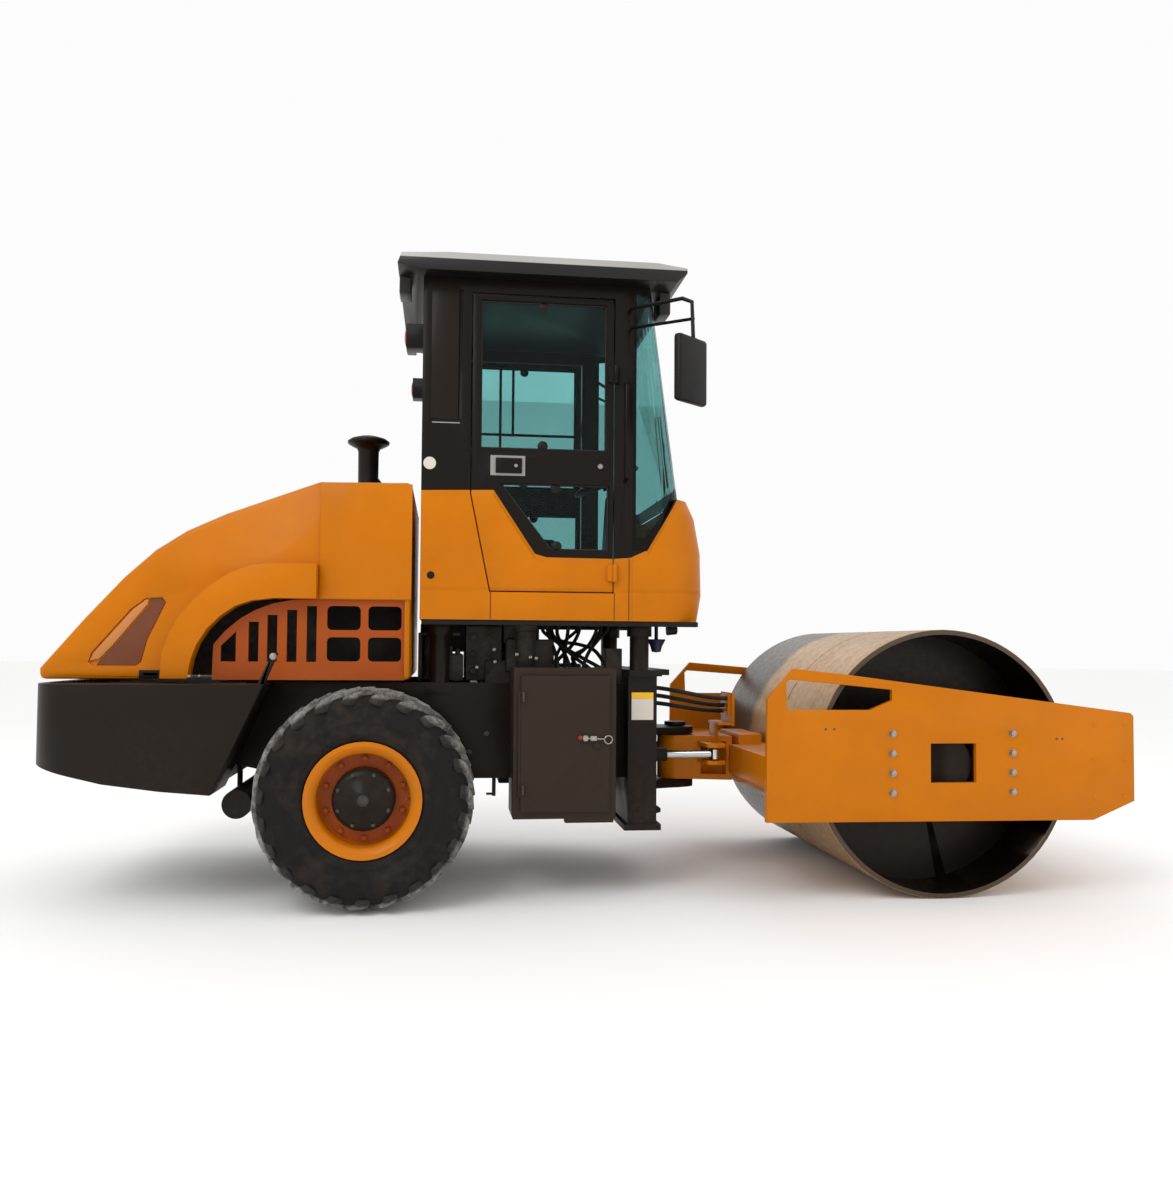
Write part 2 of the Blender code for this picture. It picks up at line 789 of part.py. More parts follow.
def cleaner():
    top_z = 2.032 + FIT
    stem = turned(
        [
            (0, 2.42),
            (0.05, 2.418),
            (0.105, 2.400),
            (0.118, 2.385),
            (0.118, 2.375),
            (0.055, 2.345),
            (0.047, 2.30),
            (0.047, top_z + 0.03),
            (0.062, top_z + 0.012),
            (0.062, top_z),
            (0, top_z),
        ],
        28,
    )
    stem.data.transform(Matrix.Translation((-1.212, 0.2, 0)))
    part("air_pre_cleaner", stem, material("cleaner_plastic", (0.012, 0.012, 0.012), 0.5))


# ---------------------------------------------------------------- cab
DOOR = [(-0.649, 2.985), (-0.649, 1.985), (-0.551, 1.506), (0.060, 1.506), (0.060, 2.985)]
UPPER_WINDOW = [(-0.608, 2.213), (0.024, 2.213), (0.024, 2.956), (-0.608, 2.956)]
LOWER_WINDOW = [(-0.505, 2.040), (-0.256, 1.712), (0.038, 1.712), (0.038, 2.040)]


def grown(points, gap):
    """The outline moved outwards by a gap, for a convex outline."""
    middle = Vector((sum(p[0] for p in points) / len(points), sum(p[1] for p in points) / len(points)))
    made = []
    count = len(points)
    for i in range(count):
        a, b, c = (Vector(points[(i + j) % count]) for j in (-1, 0, 1))
        n1 = Vector(((b - a).y, -(b - a).x)).normalized()
        n2 = Vector(((c - b).y, -(c - b).x)).normalized()
        if n1.dot(b - middle) < 0:
            n1 = -n1
        if n2.dot(b - middle) < 0:
            n2 = -n2
        n = (n1 + n2) / (1 + n1.dot(n2))
        made.append((b.x + n.x * gap, b.y + n.y * gap))
    return made


def nose_plan(half, front, corner, back, count=8):
    """Half round plan of the nose or windscreen, from the right side round to the left."""
    pts = [(back, -half)]
    pts += [(x, y) for x, y in arc((front - corner, corner - half), corner, -90, 0, count)]
    pts += [(x, y) for x, y in arc((front - corner, half - corner), corner, 0, 90, count)]
    pts.append((back, half))
    return pts


def lofted(sections, thickness, name="helper"):
    """A thick skin through open plan curves, each a (height, points) pair."""
    bm = bmesh.new()
    outer = []
    inner = []
    for z, points, inside in sections:
        outer.append([bm.verts.new((x, y, z)) for x, y in points])
        inner.append([bm.verts.new((x, y, z)) for x, y in inside])
    count = len(outer[0])
    for i in range(len(outer) - 1):
        for j in range(count - 1):
            bm.faces.new((outer[i][j], outer[i][j + 1], outer[i + 1][j + 1], outer[i + 1][j]))
            bm.faces.new((inner[i][j], inner[i + 1][j], inner[i + 1][j + 1], inner[i][j + 1]))
        for j in (0, count - 1):
            bm.faces.new((outer[i][j], outer[i + 1][j], inner[i + 1][j], inner[i][j]))
    for i in (0, len(outer) - 1):
        for j in range(count - 1):
            bm.faces.new((outer[i][j], outer[i][j + 1], inner[i][j + 1], inner[i][j]))
    bmesh.ops.recalc_face_normals(bm, faces=bm.faces)
    return mesh_object(name, bm)


def skin(levels, thickness, back):
    """levels: (height, front x, corner radius). The skin keeps the cab's width and wraps both corners."""
    sections = []
    for z, front, corner in levels:
        sections.append(
            (
                z,
                nose_plan(CAB_Y, front, corner, back),
                nose_plan(CAB_Y - thickness, front - thickness, corner - thickness, back),
            )
        )
    return lofted(sections, thickness)


def belt_cut(grow):
    """The part of the front above the nose: the belt line dips behind the windscreen's lower corner."""
    return [
        (CAB_PILLAR_X - 0.05, CAB_DIP_Z - grow),
        (CAB_DIP_X + grow * 0.3, CAB_DIP_Z - grow),
        (CAB_PEAK_X + grow * 0.3, CAB_BELT_Z - grow),
        (CAB_FRONT_X + 0.10, CAB_BELT_Z - grow),
        (CAB_FRONT_X + 0.10, CAB_TOP_Z + 0.10),
        (CAB_PILLAR_X - 0.05, CAB_TOP_Z + 0.10),
    ]


def cab():
    rear = CAB_REAR_X
    pillar = CAB_PILLAR_X
    inner = CAB_Y - CAB_T - FIT
    floor = box((rear + 0.001, -inner, CAB_Z0), (pillar, inner, CAB_Z0 + CAB_FLOOR_T))
    nose_floor = extruded(
        nose_plan(inner, CAB_FRONT_X - 0.030 - CAB_T, 0.22, pillar - 0.01), CAB_Z0, CAB_Z0 + CAB_FLOOR_T, "Z"
    )
    top = CAB_Z0 + CAB_FLOOR_T
    seat_base = box((-0.62, -0.22, top - 0.01), (-0.18, 0.22, top + SEAT_BASE_H))
    part("cab_floor", floor, black("cab_floor_paint"), add=[nose_floor, seat_base])
    for side in (-1, 1):
        tag = "right" if side < 0 else "left"
        wall = side_box(side, (rear, pillar), (CAB_Y - CAB_T, CAB_Y), (CAB_Z0, CAB_TOP_Z))
        opening = side_extruded(side, grown(DOOR, DOOR_GAP), (CAB_Y - 0.2, CAB_Y + 0.1))
        inset = side_box(side, (rear + 0.045, rear + 0.195), (CAB_Y - 0.012, CAB_Y + 0.1), (2.36, 3.0))
        y = side * (CAB_Y + 0.045)
        grab = tube(
            [(0.120, side * (CAB_Y - 0.01), 2.56), (0.120, y, 2.54), (0.120, y, 2.08), (0.120, side * (CAB_Y - 0.01), 2.06)],
            0.010,
            sides=8,
        )
        part("cab_side_" + tag, wall, black("cab_paint"), add=[grab], cut=[opening, inset])
        door(side)
    z = CAB_Z0 + CAB_FLOOR_T + FIT
    back = box((rear, -inner, z), (rear + CAB_T, inner, CAB_TOP_Z))
    lamps = [
        box((rear - 0.085, s * 0.54 - 0.05, 2.72), (rear + 0.01, s * 0.54 + 0.05, 2.84)) for s in (-1, 1)
    ]
    hole = box((rear - 0.15, -0.44, 2.08), (rear + 0.1, 0.44, 2.93))
    part("cab_rear_panel", back, black("cab_rear_paint"), add=lamps, cut=[hole])
    pane = box((rear + 0.015, -0.44 + FIT, 2.08 + FIT), (rear + 0.015 + GLASS_T, 0.44 - FIT, 2.93 - FIT))
    part("rear_window", pane, glass("rear_glass"))
    front = CAB_FRONT_X
    nose_levels = [
        (CAB_Z0, front - 0.025, 0.22),
        (1.50, front - 0.002, 0.22),
        (1.72, front - 0.007, 0.22),
        (1.90, front - 0.040, 0.22),
        (CAB_BELT_Z, front - 0.085, 0.20),
    ]
    nose = skin(nose_levels, CAB_T, pillar + FIT)
    above = extruded(belt_cut(0.0), -CAB_Y - 0.1, CAB_Y + 0.1, "Y")
    part("cab_nose", nose, yellow("nose_paint"), cut=[above])
    screen_levels = [(CAB_DIP_Z, front - 0.095, 0.20), (CAB_TOP_Z - FIT, 0.262, 0.085)]
    screen = skin(screen_levels, GLASS_T, pillar + FIT)
    keep = extruded(belt_cut(-FIT), -CAB_Y - 0.1, CAB_Y + 0.1, "Y")
    made = part("windscreen", screen, glass("windscreen_glass"))
    boolean(made, "INTERSECT", keep)
    roof()


def door(side):
    tag = "right" if side < 0 else "left"
    y = (CAB_Y - CAB_T, CAB_Y)
    hinge = (0.060, side * CAB_Y, 0)
    panel = side_extruded(side, DOOR, y)
    cuts = [
        side_extruded(side, UPPER_WINDOW, (CAB_Y - 0.2, CAB_Y + 0.1)),
        side_extruded(side, LOWER_WINDOW, (CAB_Y - 0.2, CAB_Y + 0.1)),
    ]
    handle = side_box(side, (-0.53, -0.40), (CAB_Y - 0.01, CAB_Y + 0.012), (2.09, 2.165))
    barrels = [
        cylinder((0.068, side * (CAB_Y + 0.020), zz), 0.012, 0.09, "Z", 12) for zz in (1.60, 2.60)
    ]
    leaves = [
        side_box(side, (0.03, 0.068), (CAB_Y + 0.010, CAB_Y + 0.020), (zz - 0.04, zz + 0.04))
        for zz in (1.60, 2.60)
    ] + [
        side_box(side, (0.03, 0.052), (CAB_Y - 0.01, CAB_Y + 0.015), (zz - 0.04, zz + 0.04))
        for zz in (1.60, 2.60)
    ]
    part(
        "door_" + tag,
        panel,
        black("door_paint"),
        add=[handle, *barrels, *leaves],
        cut=cuts,
        origin=(0.068, side * (CAB_Y + 0.020), 2.25),
    )
    glass_y = (CAB_Y - 0.028, CAB_Y - 0.028 + GLASS_T)
    upper = side_extruded(side, grown(UPPER_WINDOW, -FIT), glass_y)
    part("door_%s_upper_glass" % tag, upper, glass("door_glass"))
    lower = side_extruded(side, grown(LOWER_WINDOW, -FIT), glass_y)
    part("door_%s_lower_glass" % tag, lower, glass("door_glass"))


def roof():
    outline = [
        (ROOF_X0, 3.085),
        (ROOF_X0 + 0.02, ROOF_Z1 - 0.012),
        (ROOF_X0 + 0.25, ROOF_Z1),
        (ROOF_X1 - 0.15, ROOF_Z1),
        (ROOF_X1, ROOF_Z1 - 0.02),
        (ROOF_X1, 3.105),
        (ROOF_X1 - 0.05, CAB_TOP_Z + FIT),
        (CAB_REAR_X - 0.02, CAB_TOP_Z + FIT),
    ]
    slab = extruded(outline, -ROOF_Y, ROOF_Y, "Y")
    lamps = []
    for side in (-1, 1):
        lamps.append(box((0.365 - 0.055, side * 0.50 - 0.08, 2.95), (0.365, side * 0.50 + 0.08, 3.07)))
        lamps.append(box((ROOF_X0 + 0.005, side * 0.50 - 0.08, 3.0), (ROOF_X0 + 0.06, side * 0.50 + 0.08, 3.09)))
    part("cab_roof", slab, material("roof_paint", (0.09, 0.085, 0.08), 0.4), add=lamps)


def cab_inside():
    floor = CAB_Z0 + CAB_FLOOR_T + FIT
    seat_z = floor + SEAT_BASE_H + FIT
    cushion = box((-0.66, -0.25, seat_z), (-0.16, 0.25, seat_z + 0.12))
    back = extruded(
        [
            (-0.66, seat_z + 0.06),
            (-0.54, seat_z + 0.06),
            (-0.64, seat_z + 0.62),
            (-0.74, seat_z + 0.62),
        ],
        -0.24,
        0.24,
        "Y",
    )
    part("seat", cushion, material("seat_vinyl", (0.02, 0.02, 0.02), 0.6), add=[back])
    column = extruded([(0.10, floor), (0.30, floor), (0.22, 2.06), (0.14, 2.10)], -0.14, 0.14, "Y")
    part("steering_console", column, black("console_plastic"))
    rim = turned([(0.185 + 0.014 * math.cos(a), 0.014 * math.sin(a)) for a in [math.radians(-i * 45) for i in range(8)]], 32)
    spokes = [cylinder((0, 0, 0), 0.012, 0.36, "X", 8), cylinder((0, 0, 0), 0.012, 0.36, "Y", 8)]
    hub = cylinder((0, 0, -0.015), 0.035, 0.06, "Z", 16)
    tilt = Matrix.Translation(WHEEL_POS) @ Matrix.Rotation(math.radians(-WHEEL_TILT), 4, "Y")
    for obj in (rim, *spokes, hub):
        obj.data.transform(tilt)
    part("steering_wheel", rim, black("wheel_plastic"), add=[*spokes, hub], origin=WHEEL_POS)


WHEEL_POS = (0.125, 0.0, 2.165)
WHEEL_TILT = 25


def mirror(side):
    tag = "right" if side < 0 else "left"
    foot = side * (CAB_Y + FIT)
    y0 = side * (CAB_Y + 0.05)
    y1 = side * (CAB_Y + 0.34)
    x0 = CAB_PILLAR_X - 0.02
    upper = tube(
        [(x0, foot, 2.93), (x0, y0, 2.93), (x0 + 0.20, y1 - side * 0.03, 2.905)]
        + [(x0 + 0.24, y1, 2.88), (x0 + 0.25, y1, 2.62)],
        0.010,
        sides=8,
    )
    lower = tube([(x0, foot, 2.83), (x0, y0, 2.83), (x0 + 0.25, y1, 2.80)], 0.008, sides=8)
    head = box((-0.022, -0.11, -0.16), (0.022, 0.11, 0.16))
    turn = Matrix.Rotation(math.radians(50 * side), 4, "Z")
    head.data.transform(Matrix.Translation((x0 + 0.235, y1, 2.55)) @ turn)
    part("mirror_" + tag, head, black("mirror_plastic"), add=[upper, lower])


# ---------------------------------------------------------------- hitch and drum frame
def hitch_yoke():
    front = PLATE_REAR_X + 0.06
    plan = (
        [(front - 0.02, -TONGUE_HALF), (front - 0.02, TONGUE_HALF)]
        + [(HITCH_X + 0.03, LUG_R)]
        + arc((HITCH_X, 0), LUG_R, 100, 260, 12)
        + [(HITCH_X + 0.03, -LUG_R)]
    )
    block = extruded(plan, YOKE_Z0, YOKE_Z1, "Z")
    waist = [
        side_box(s, (HITCH_X + 0.12, front - 0.05), (0.08, 0.3), (YOKE_Z0 + 0.03, YOKE_Z1 - 0.03))
        for s in (-1, 1)
    ]
    shaft = cylinder((front + 0.06, 0, OSC_Z), OSC_R, 0.20, "X", 28)
    arms = []
    for s in (-1, 1):
        for z in (CYL_Z + 0.035, CYL_Z - 0.055):
            arms.append(
                extruded(
                    [(EYE_X + 0.06, s * 0.10), (EYE_X + 0.05, s * (EYE_Y + 0.03)), (EYE_X, s * (EYE_Y + 0.05)), (EYE_X - 0.05, s * (EYE_Y + 0.03)), (EYE_X - 0.06, s * 0.10)],
                    z,
                    z + 0.02,
                    "Z",
                )
            )
    x = PLATE_REAR_X
    shelf = YOKE_Z1 + 0.065
    riser = box((x - 0.050, -0.15, YOKE_Z1 - 0.01), (x - 0.033, -0.03, shelf + 0.008))
    ledge = box((x - 0.054, -0.23, shelf), (x + 0.030, -0.02, shelf + 0.015))
    bracket = box((x + 0.020, -0.24, shelf - 0.004), (x + 0.036, -0.01, 0.985))
    clamp = box((x + 0.006, HOSE_Y[0] - 0.028, 0.86), (x + 0.025, HOSE_Y[2] + 0.028, 0.975))
    hole = cylinder((HITCH_X, 0, (YOKE_Z0 + YOKE_Z1) / 2), HITCH_PIN_R + 0.0015, 0.5, "Z", 24)
    made = part("hitch_yoke", block, yellow("yoke_paint"), add=[shaft, riser, ledge, bracket, clamp])
    for s in waist:
        boolean(made, "DIFFERENCE", s)
    for a in arms:
        boolean(made, "UNION", a)
    boolean(made, "DIFFERENCE", hole)


CYL_BACK_X = -0.085
CYL_Y = 0.30
CYL_Z = 0.66
EYE_X = 0.687
EYE_Y = 0.28
CYL_R = 0.038
ROD_R = 0.02


def steering_cylinder(side):
    tag = "right" if side < 0 else "left"
    back = Vector((CYL_BACK_X, side * CYL_Y, CYL_Z))
    eye = Vector((EYE_X, side * EYE_Y, CYL_Z))
    along = (eye - back).normalized()
    barrel_end = back + along * 0.50
    barrel = between(back + along * 0.045, barrel_end, CYL_R, 20)
    neck = between(back, back + along * 0.05, 0.024, 12)
    ring = cylinder(back, 0.034, 0.05, "Z", 16)
    bore = between(barrel_end - along * 0.38, barrel_end + along * 0.01, ROD_R + FIT, 16)
    part("steering_barrel_" + tag, barrel, black("barrel_paint"), add=[neck, ring], cut=[bore], origin=back)
    rod = between(barrel_end - along * 0.20, eye - along * 0.02, ROD_R, 16)
    end = cylinder(eye, 0.036, 0.05, "Z", 16)
    part("steering_rod_" + tag, rod, material("rod_chrome", (0.5, 0.5, 0.5), 0.1, 1.0), add=[end], origin=eye)


def plate_outline(rear):
    return [
        (rear, 0.395),
        (rear + 0.006, 0.990),
        (rear + 0.135, 1.135),
        (PLATE_REAR_X + 0.42, 1.105),
        (PLATE_FRONT_X - 0.015, 0.920),
        (PLATE_FRONT_X, 0.905),
        (PLATE_FRONT_X, 0.480),
        (PLATE_FRONT_X - 0.22, 0.388),
    ]


def plate_slot(extra):
    """The long opening behind the plate's upper edge."""
    x = PLATE_REAR_X
    return [
        (x + 0.105 - extra, 0.935),
        (x + 0.100 - extra, 1.070),
        (x + 0.115 - extra, 1.082),
        (x + 0.405, 1.056),
        (x + 0.635, 1.034),
        (x + 0.635, 0.982),
        (x + 0.521, 0.935),
    ]


def front_frame():
    for side in (-1, 1):
        tag = "right" if side < 0 else "left"
        extra = LEFT_PLATE_EXTRA if side > 0 else 0.0
        body = side_extruded(side, plate_outline(PLATE_REAR_X - extra), (PLATE_Y - PLATE_T, PLATE_Y))
        slot = side_extruded(side, plate_slot(extra), (PLATE_Y - 0.2, PLATE_Y + 0.1))
        hole = side_box(side, (DRUM_X - 0.10, DRUM_X + 0.135), (PLATE_Y - 0.2, PLATE_Y + 0.1), (DRUM_R - 0.087, DRUM_R + 0.105))
        part("drum_plate_" + tag, body, yellow("plate_paint"), cut=[slot, hole])
        mount = side_box(side, (DRUM_X - 0.34, DRUM_X + 0.34), (PLATE_Y - PLATE_T - FIT, PLATE_Y - PLATE_T - 0.02), (DRUM_R - 0.176, DRUM_R + 0.194))
        window = side_box(side, (DRUM_X - 0.10, DRUM_X + 0.135), (PLATE_Y - 0.2, PLATE_Y + 0.1), (DRUM_R - 0.087, DRUM_R + 0.105))
        reach = PLATE_Y - PLATE_T - 0.015 - (DRUM_WEB_Y + 0.09)
        housing = cylinder((DRUM_X - 0.02, side * (DRUM_WEB_Y + 0.09 + reach / 2), DRUM_R), 0.15, reach, "Y", 28)
        made = part("drum_mount_" + tag, mount, black("mount_paint"), cut=[window])
        boolean(made, "UNION", housing)
    inner = PLATE_Y - PLATE_T - FIT
    rear = PLATE_REAR_X + 0.01
    plan = [
        (rear, -inner),
        (rear - 0.005, -0.24),
        (PLATE_REAR_X + 0.07, -0.24),
        (PLATE_REAR_X + 0.07, 0.24),
        (rear - 0.005, 0.24),
        (rear, inner),
        (rear + BEAM_DEPTH - 0.05, inner),
        (rear + BEAM_DEPTH, 0.50),
        (rear + BEAM_DEPTH, -0.50),
        (rear + BEAM_DEPTH - 0.05, -inner),
    ]
    beam = extruded(plan, BEAM_Z0, BEAM_Z1, "Z")
    socket = box((PLATE_REAR_X + 0.07, -0.20, BEAM_Z0 - 0.06), (PLATE_REAR_X + 0.20, 0.20, BEAM_Z1 + 0.05))
    bore = cylinder((PLATE_REAR_X + 0.1, 0, OSC_Z), OSC_R + 0.0015, 0.5, "X", 28)
    scraper = extruded(scraper_outline(), -0.80, 0.80, "Y")
    part("drum_frame_rear_beam", beam, yellow("beam_paint"), add=[socket, scraper], cut=[bore], origin=(HITCH_X, 0, OSC_Z))
    front = box((PLATE_FRONT_X - 0.025 - FRONT_BEAM_DEPTH, -inner, 0.495), (PLATE_FRONT_X - 0.025, inner, 0.872))
    part("drum_frame_front_beam", front, yellow("front_beam_paint"))


def scraper_outline():
    """A bar from the rear beam's underside to just short of the drum."""
    angle = math.radians(194)
    r = DRUM_R + SCRAPER_GAP
    tip = (DRUM_X + r * math.cos(angle), DRUM_R + r * math.sin(angle) - LIFT)
    return [
        (PLATE_REAR_X + 0.12, BEAM_Z0 + 0.02),
        (PLATE_REAR_X + 0.12, 0.48),
        (tip[0] - 0.01, tip[1] - 0.02),
        tip,
        (PLATE_REAR_X + 0.18, 0.53),
        (PLATE_REAR_X + 0.18, BEAM_Z0 + 0.02),
    ]


def drum():
    half = DRUM_W / 2
    r = DRUM_R
    inside = r - DRUM_WALL
    web = DRUM_WEB_Y
    profile = [
        (r - 0.004, half),
        (r, half - 0.004),
        (r, 0.004 - half),
        (r - 0.004, -half),
        (inside, -half),
        (inside, -web - 0.012),
        (DRUM_BORE_R, -web - 0.012),
        (DRUM_BORE_R, -web + 0.012),
        (inside, -web + 0.012),
        (inside, web - 0.012),
        (DRUM_BORE_R, web - 0.012),
        (DRUM_BORE_R, web + 0.012),
        (inside, web + 0.012),
        (inside, half),
    ]
    centre = (DRUM_X, 0, DRUM_R)
    shell = turned_y(1, profile, centre, 72)
    part("drum_shell", shell, steel("drum_steel"), origin=centre)
    edge = web + 0.012
    core = turned_y(
        1,
        [
            (0, edge + 0.06),
            (VIB_R, edge + 0.06),
            (VIB_R, edge + 0.03),
            (DRUM_BORE_R + 0.05, edge + 0.03),
            (DRUM_BORE_R + 0.05, edge + FIT),
            (DRUM_BORE_R - FIT, edge + FIT),
            (DRUM_BORE_R - FIT, -edge - FIT),
            (DRUM_BORE_R + 0.05, -edge - FIT),
            (DRUM_BORE_R + 0.05, -edge - 0.03),
            (VIB_R, -edge - 0.03),
            (VIB_R, -edge - 0.06),
            (0, -edge - 0.06),
        ],
        centre,
        36,
    )
    part("vibrator_housing", core, black("vibrator_paint"), origin=centre)


def hoses():
    """Three hoses over the hitch, from the clamp on the post to the clamp on the yoke's bracket."""
    start_x = POST_X1 + 0.016 + HOSE_GAP
    end_x = PLATE_REAR_X + 0.006 - HOSE_GAP
    levels = [(1.015, 0.955), (0.972, 0.915), (0.928, 0.880)]
    for i, (y, (start_z, end_z)) in enumerate(zip(HOSE_Y, levels)):
        points = []
        for j in range(HOSE_POINTS):
            t = j / (HOSE_POINTS - 1)
            ease = t * t * (3 - 2 * t)
            bow = math.sin(math.pi * t) ** 2
            points.append(
                (start_x + (end_x - start_x) * t, y - HOSE_BOW * bow, start_z + (end_z - start_z) * ease)
            )
        data = bpy.data.curves.new("steering_hose_%d" % (i + 1), "CURVE")
        data.dimensions = "3D"
        data.bevel_depth = HOSE_R
        data.bevel_resolution = 2
        data.use_fill_caps = True
        spline = data.splines.new("POLY")
        spline.points.add(len(points) - 1)
        for point, co in zip(spline.points, points):
            point.co = (*co, 1.0)
        made = bpy.data.objects.new(data.name, data)
        made.data.materials.append(material("hose_rubber", (0.01, 0.01, 0.01), 0.7))
        collection.objects.link(made)


def lift_body():
    """The body stands on the axle, clear of the tyres, so it rises with their size."""
    grounded = ("tyre", "rim", "hub", "rear_axle", "drum_shell", "drum_mount", "vibrator")
    lifted = set()
    for obj in collection.objects:
        if not obj.name.startswith(grounded):
            lifted.add(obj)
            lifted.update(m.object for m in obj.modifiers if m.type == "BOOLEAN")
    for obj in lifted:
        obj.location.z += LIFT


def main():
    start()
    for side in (-1, 1):
        wheel(side)
        steering_cylinder(side)
        mirror(side)
    rear_axle()
    chassis()
    hitch_post()
    counterweight()
    engine()
    air_tank()
    boxes()
    valve_block()
    hood()
    cab()
    cab_inside()
    hitch_yoke()
    front_frame()
    drum()
    hoses()
    lift_body()


main()
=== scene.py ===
import json
import math
import bpy
from mathutils import Matrix, Vector

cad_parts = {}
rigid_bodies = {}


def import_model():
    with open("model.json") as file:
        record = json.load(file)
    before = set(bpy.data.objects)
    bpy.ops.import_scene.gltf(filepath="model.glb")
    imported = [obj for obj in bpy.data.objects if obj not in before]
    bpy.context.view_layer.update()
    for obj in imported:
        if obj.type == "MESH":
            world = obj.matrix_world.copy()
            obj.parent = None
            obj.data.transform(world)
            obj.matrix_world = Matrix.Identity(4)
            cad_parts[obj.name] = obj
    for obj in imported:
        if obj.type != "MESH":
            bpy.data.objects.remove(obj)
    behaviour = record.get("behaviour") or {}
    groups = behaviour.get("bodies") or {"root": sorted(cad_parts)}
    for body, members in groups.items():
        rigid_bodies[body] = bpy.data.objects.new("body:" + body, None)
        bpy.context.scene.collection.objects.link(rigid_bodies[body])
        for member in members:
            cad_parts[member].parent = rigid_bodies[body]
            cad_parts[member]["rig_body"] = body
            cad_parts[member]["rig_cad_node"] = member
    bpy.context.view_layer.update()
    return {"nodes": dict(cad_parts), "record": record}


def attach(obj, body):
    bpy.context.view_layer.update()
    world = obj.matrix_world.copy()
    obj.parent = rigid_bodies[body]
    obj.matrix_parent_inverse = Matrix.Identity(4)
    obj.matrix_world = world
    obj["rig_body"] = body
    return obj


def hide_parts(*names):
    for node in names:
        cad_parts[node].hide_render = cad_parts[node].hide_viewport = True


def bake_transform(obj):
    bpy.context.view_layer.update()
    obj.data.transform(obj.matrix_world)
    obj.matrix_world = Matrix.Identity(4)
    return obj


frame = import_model()
nodes = frame["nodes"]
bodies = frame["record"]["behaviour"]["bodies"]
bodyOf = {node: body for body, members in bodies.items() for node in members}
slotOf = {row["node"]: row["material_slot"] for row in frame["record"]["subparts"]}
print("frame loaded:", len(nodes), "nodes")

# camera, at the machine's right side and a little behind its middle
camera = {
    "place": (-0.774, -5.843, 1.237),
    "yawDeg": 7.149,
    "pitchDeg": 2.262,
    "rollDeg": 0.433,
    "lens": 32.0,
    "shiftX": 0.0089,
    "shiftY": 0.0113,
}


def makeCamera():
    bpy.ops.object.camera_add(location=camera["place"])
    eye = bpy.context.object
    yaw, pitch, roll = (math.radians(camera[k]) for k in ("yawDeg", "pitchDeg", "rollDeg"))
    ahead = Vector((math.sin(yaw) * math.cos(pitch), math.cos(yaw) * math.cos(pitch), math.sin(pitch)))
    level = Vector((math.cos(yaw), -math.sin(yaw), 0))
    above = level.cross(ahead)
    right = level * math.cos(roll) + above * math.sin(roll)
    up = right.cross(ahead)
    eye.matrix_world = Matrix(
        (
            (right.x, up.x, -ahead.x, camera["place"][0]),
            (right.y, up.y, -ahead.y, camera["place"][1]),
            (right.z, up.z, -ahead.z, camera["place"][2]),
            (0, 0, 0, 1),
        )
    )
    eye.data.lens = camera["lens"]
    eye.data.sensor_width = 36
    eye.data.shift_x = camera["shiftX"]
    eye.data.shift_y = camera["shiftY"]
    eye.data.clip_end = 400
    bpy.context.scene.camera = eye


makeCamera()


# small tools for shapes
def deselectAll():
    if bpy.context.object and bpy.context.object.mode != "OBJECT":
        bpy.ops.object.mode_set(mode="OBJECT")
    bpy.ops.object.select_all(action="DESELECT")


def makeActive(obj):
    deselectAll()
    obj.select_set(True)
    bpy.context.view_layer.objects.active = obj


def applyPlace(obj):
    makeActive(obj)
    bpy.ops.object.transform_apply(location=True, rotation=True, scale=True)


def editAll(obj, *steps):
    makeActive(obj)
    bpy.ops.object.mode_set(mode="EDIT")
    bpy.ops.mesh.select_mode(type="VERT")
    bpy.ops.mesh.select_all(action="SELECT")
    for step in steps:
        step()
    bpy.ops.object.mode_set(mode="OBJECT")


def roundEdges(obj, width, segments=2, angle=35):
    makeActive(obj)
    edge = obj.modifiers.new("edge", "BEVEL")
    edge.width = width
    edge.segments = segments
    edge.limit_method = "ANGLE"
    edge.angle_limit = math.radians(angle)
    edge.use_clamp_overlap = True
    bpy.ops.object.modifier_apply(modifier=edge.name)


def smooth(obj, angle=34):
    makeActive(obj)
    bpy.ops.object.shade_smooth_by_angle(angle=math.radians(angle))


def block(name, low, high, edge=0.0, segments=2):
    deselectAll()
    centre = [(a + b) / 2 for a, b in zip(low, high)]
    bpy.ops.mesh.primitive_cube_add(size=1, location=centre)
    obj = bpy.context.object
    obj.name = name
    obj.scale = [b - a for a, b in zip(low, high)]
    applyPlace(obj)
    if edge:
        editAll(obj, lambda: bpy.ops.mesh.bevel(offset=edge, segments=segments, affect="EDGES"))
    return obj


def rod(name, start, end, radius, sides=16, radiusEnd=None, edge=0.0):
    deselectAll()
    start, end = Vector(start), Vector(end)
    way = end - start
    bpy.ops.mesh.primitive_cone_add(
        vertices=sides,
        radius1=radius,
        radius2=radius if radiusEnd is None else radiusEnd,
        depth=way.length,
        location=(0, 0, 0),
    )
    obj = bpy.context.object
    obj.name = name
    obj.matrix_world = Matrix.Translation((start + end) / 2) @ way.to_track_quat("Z", "Y").to_matrix().to_4x4()
    applyPlace(obj)
    if edge:
        roundEdges(obj, edge, 2, 50)
    return obj


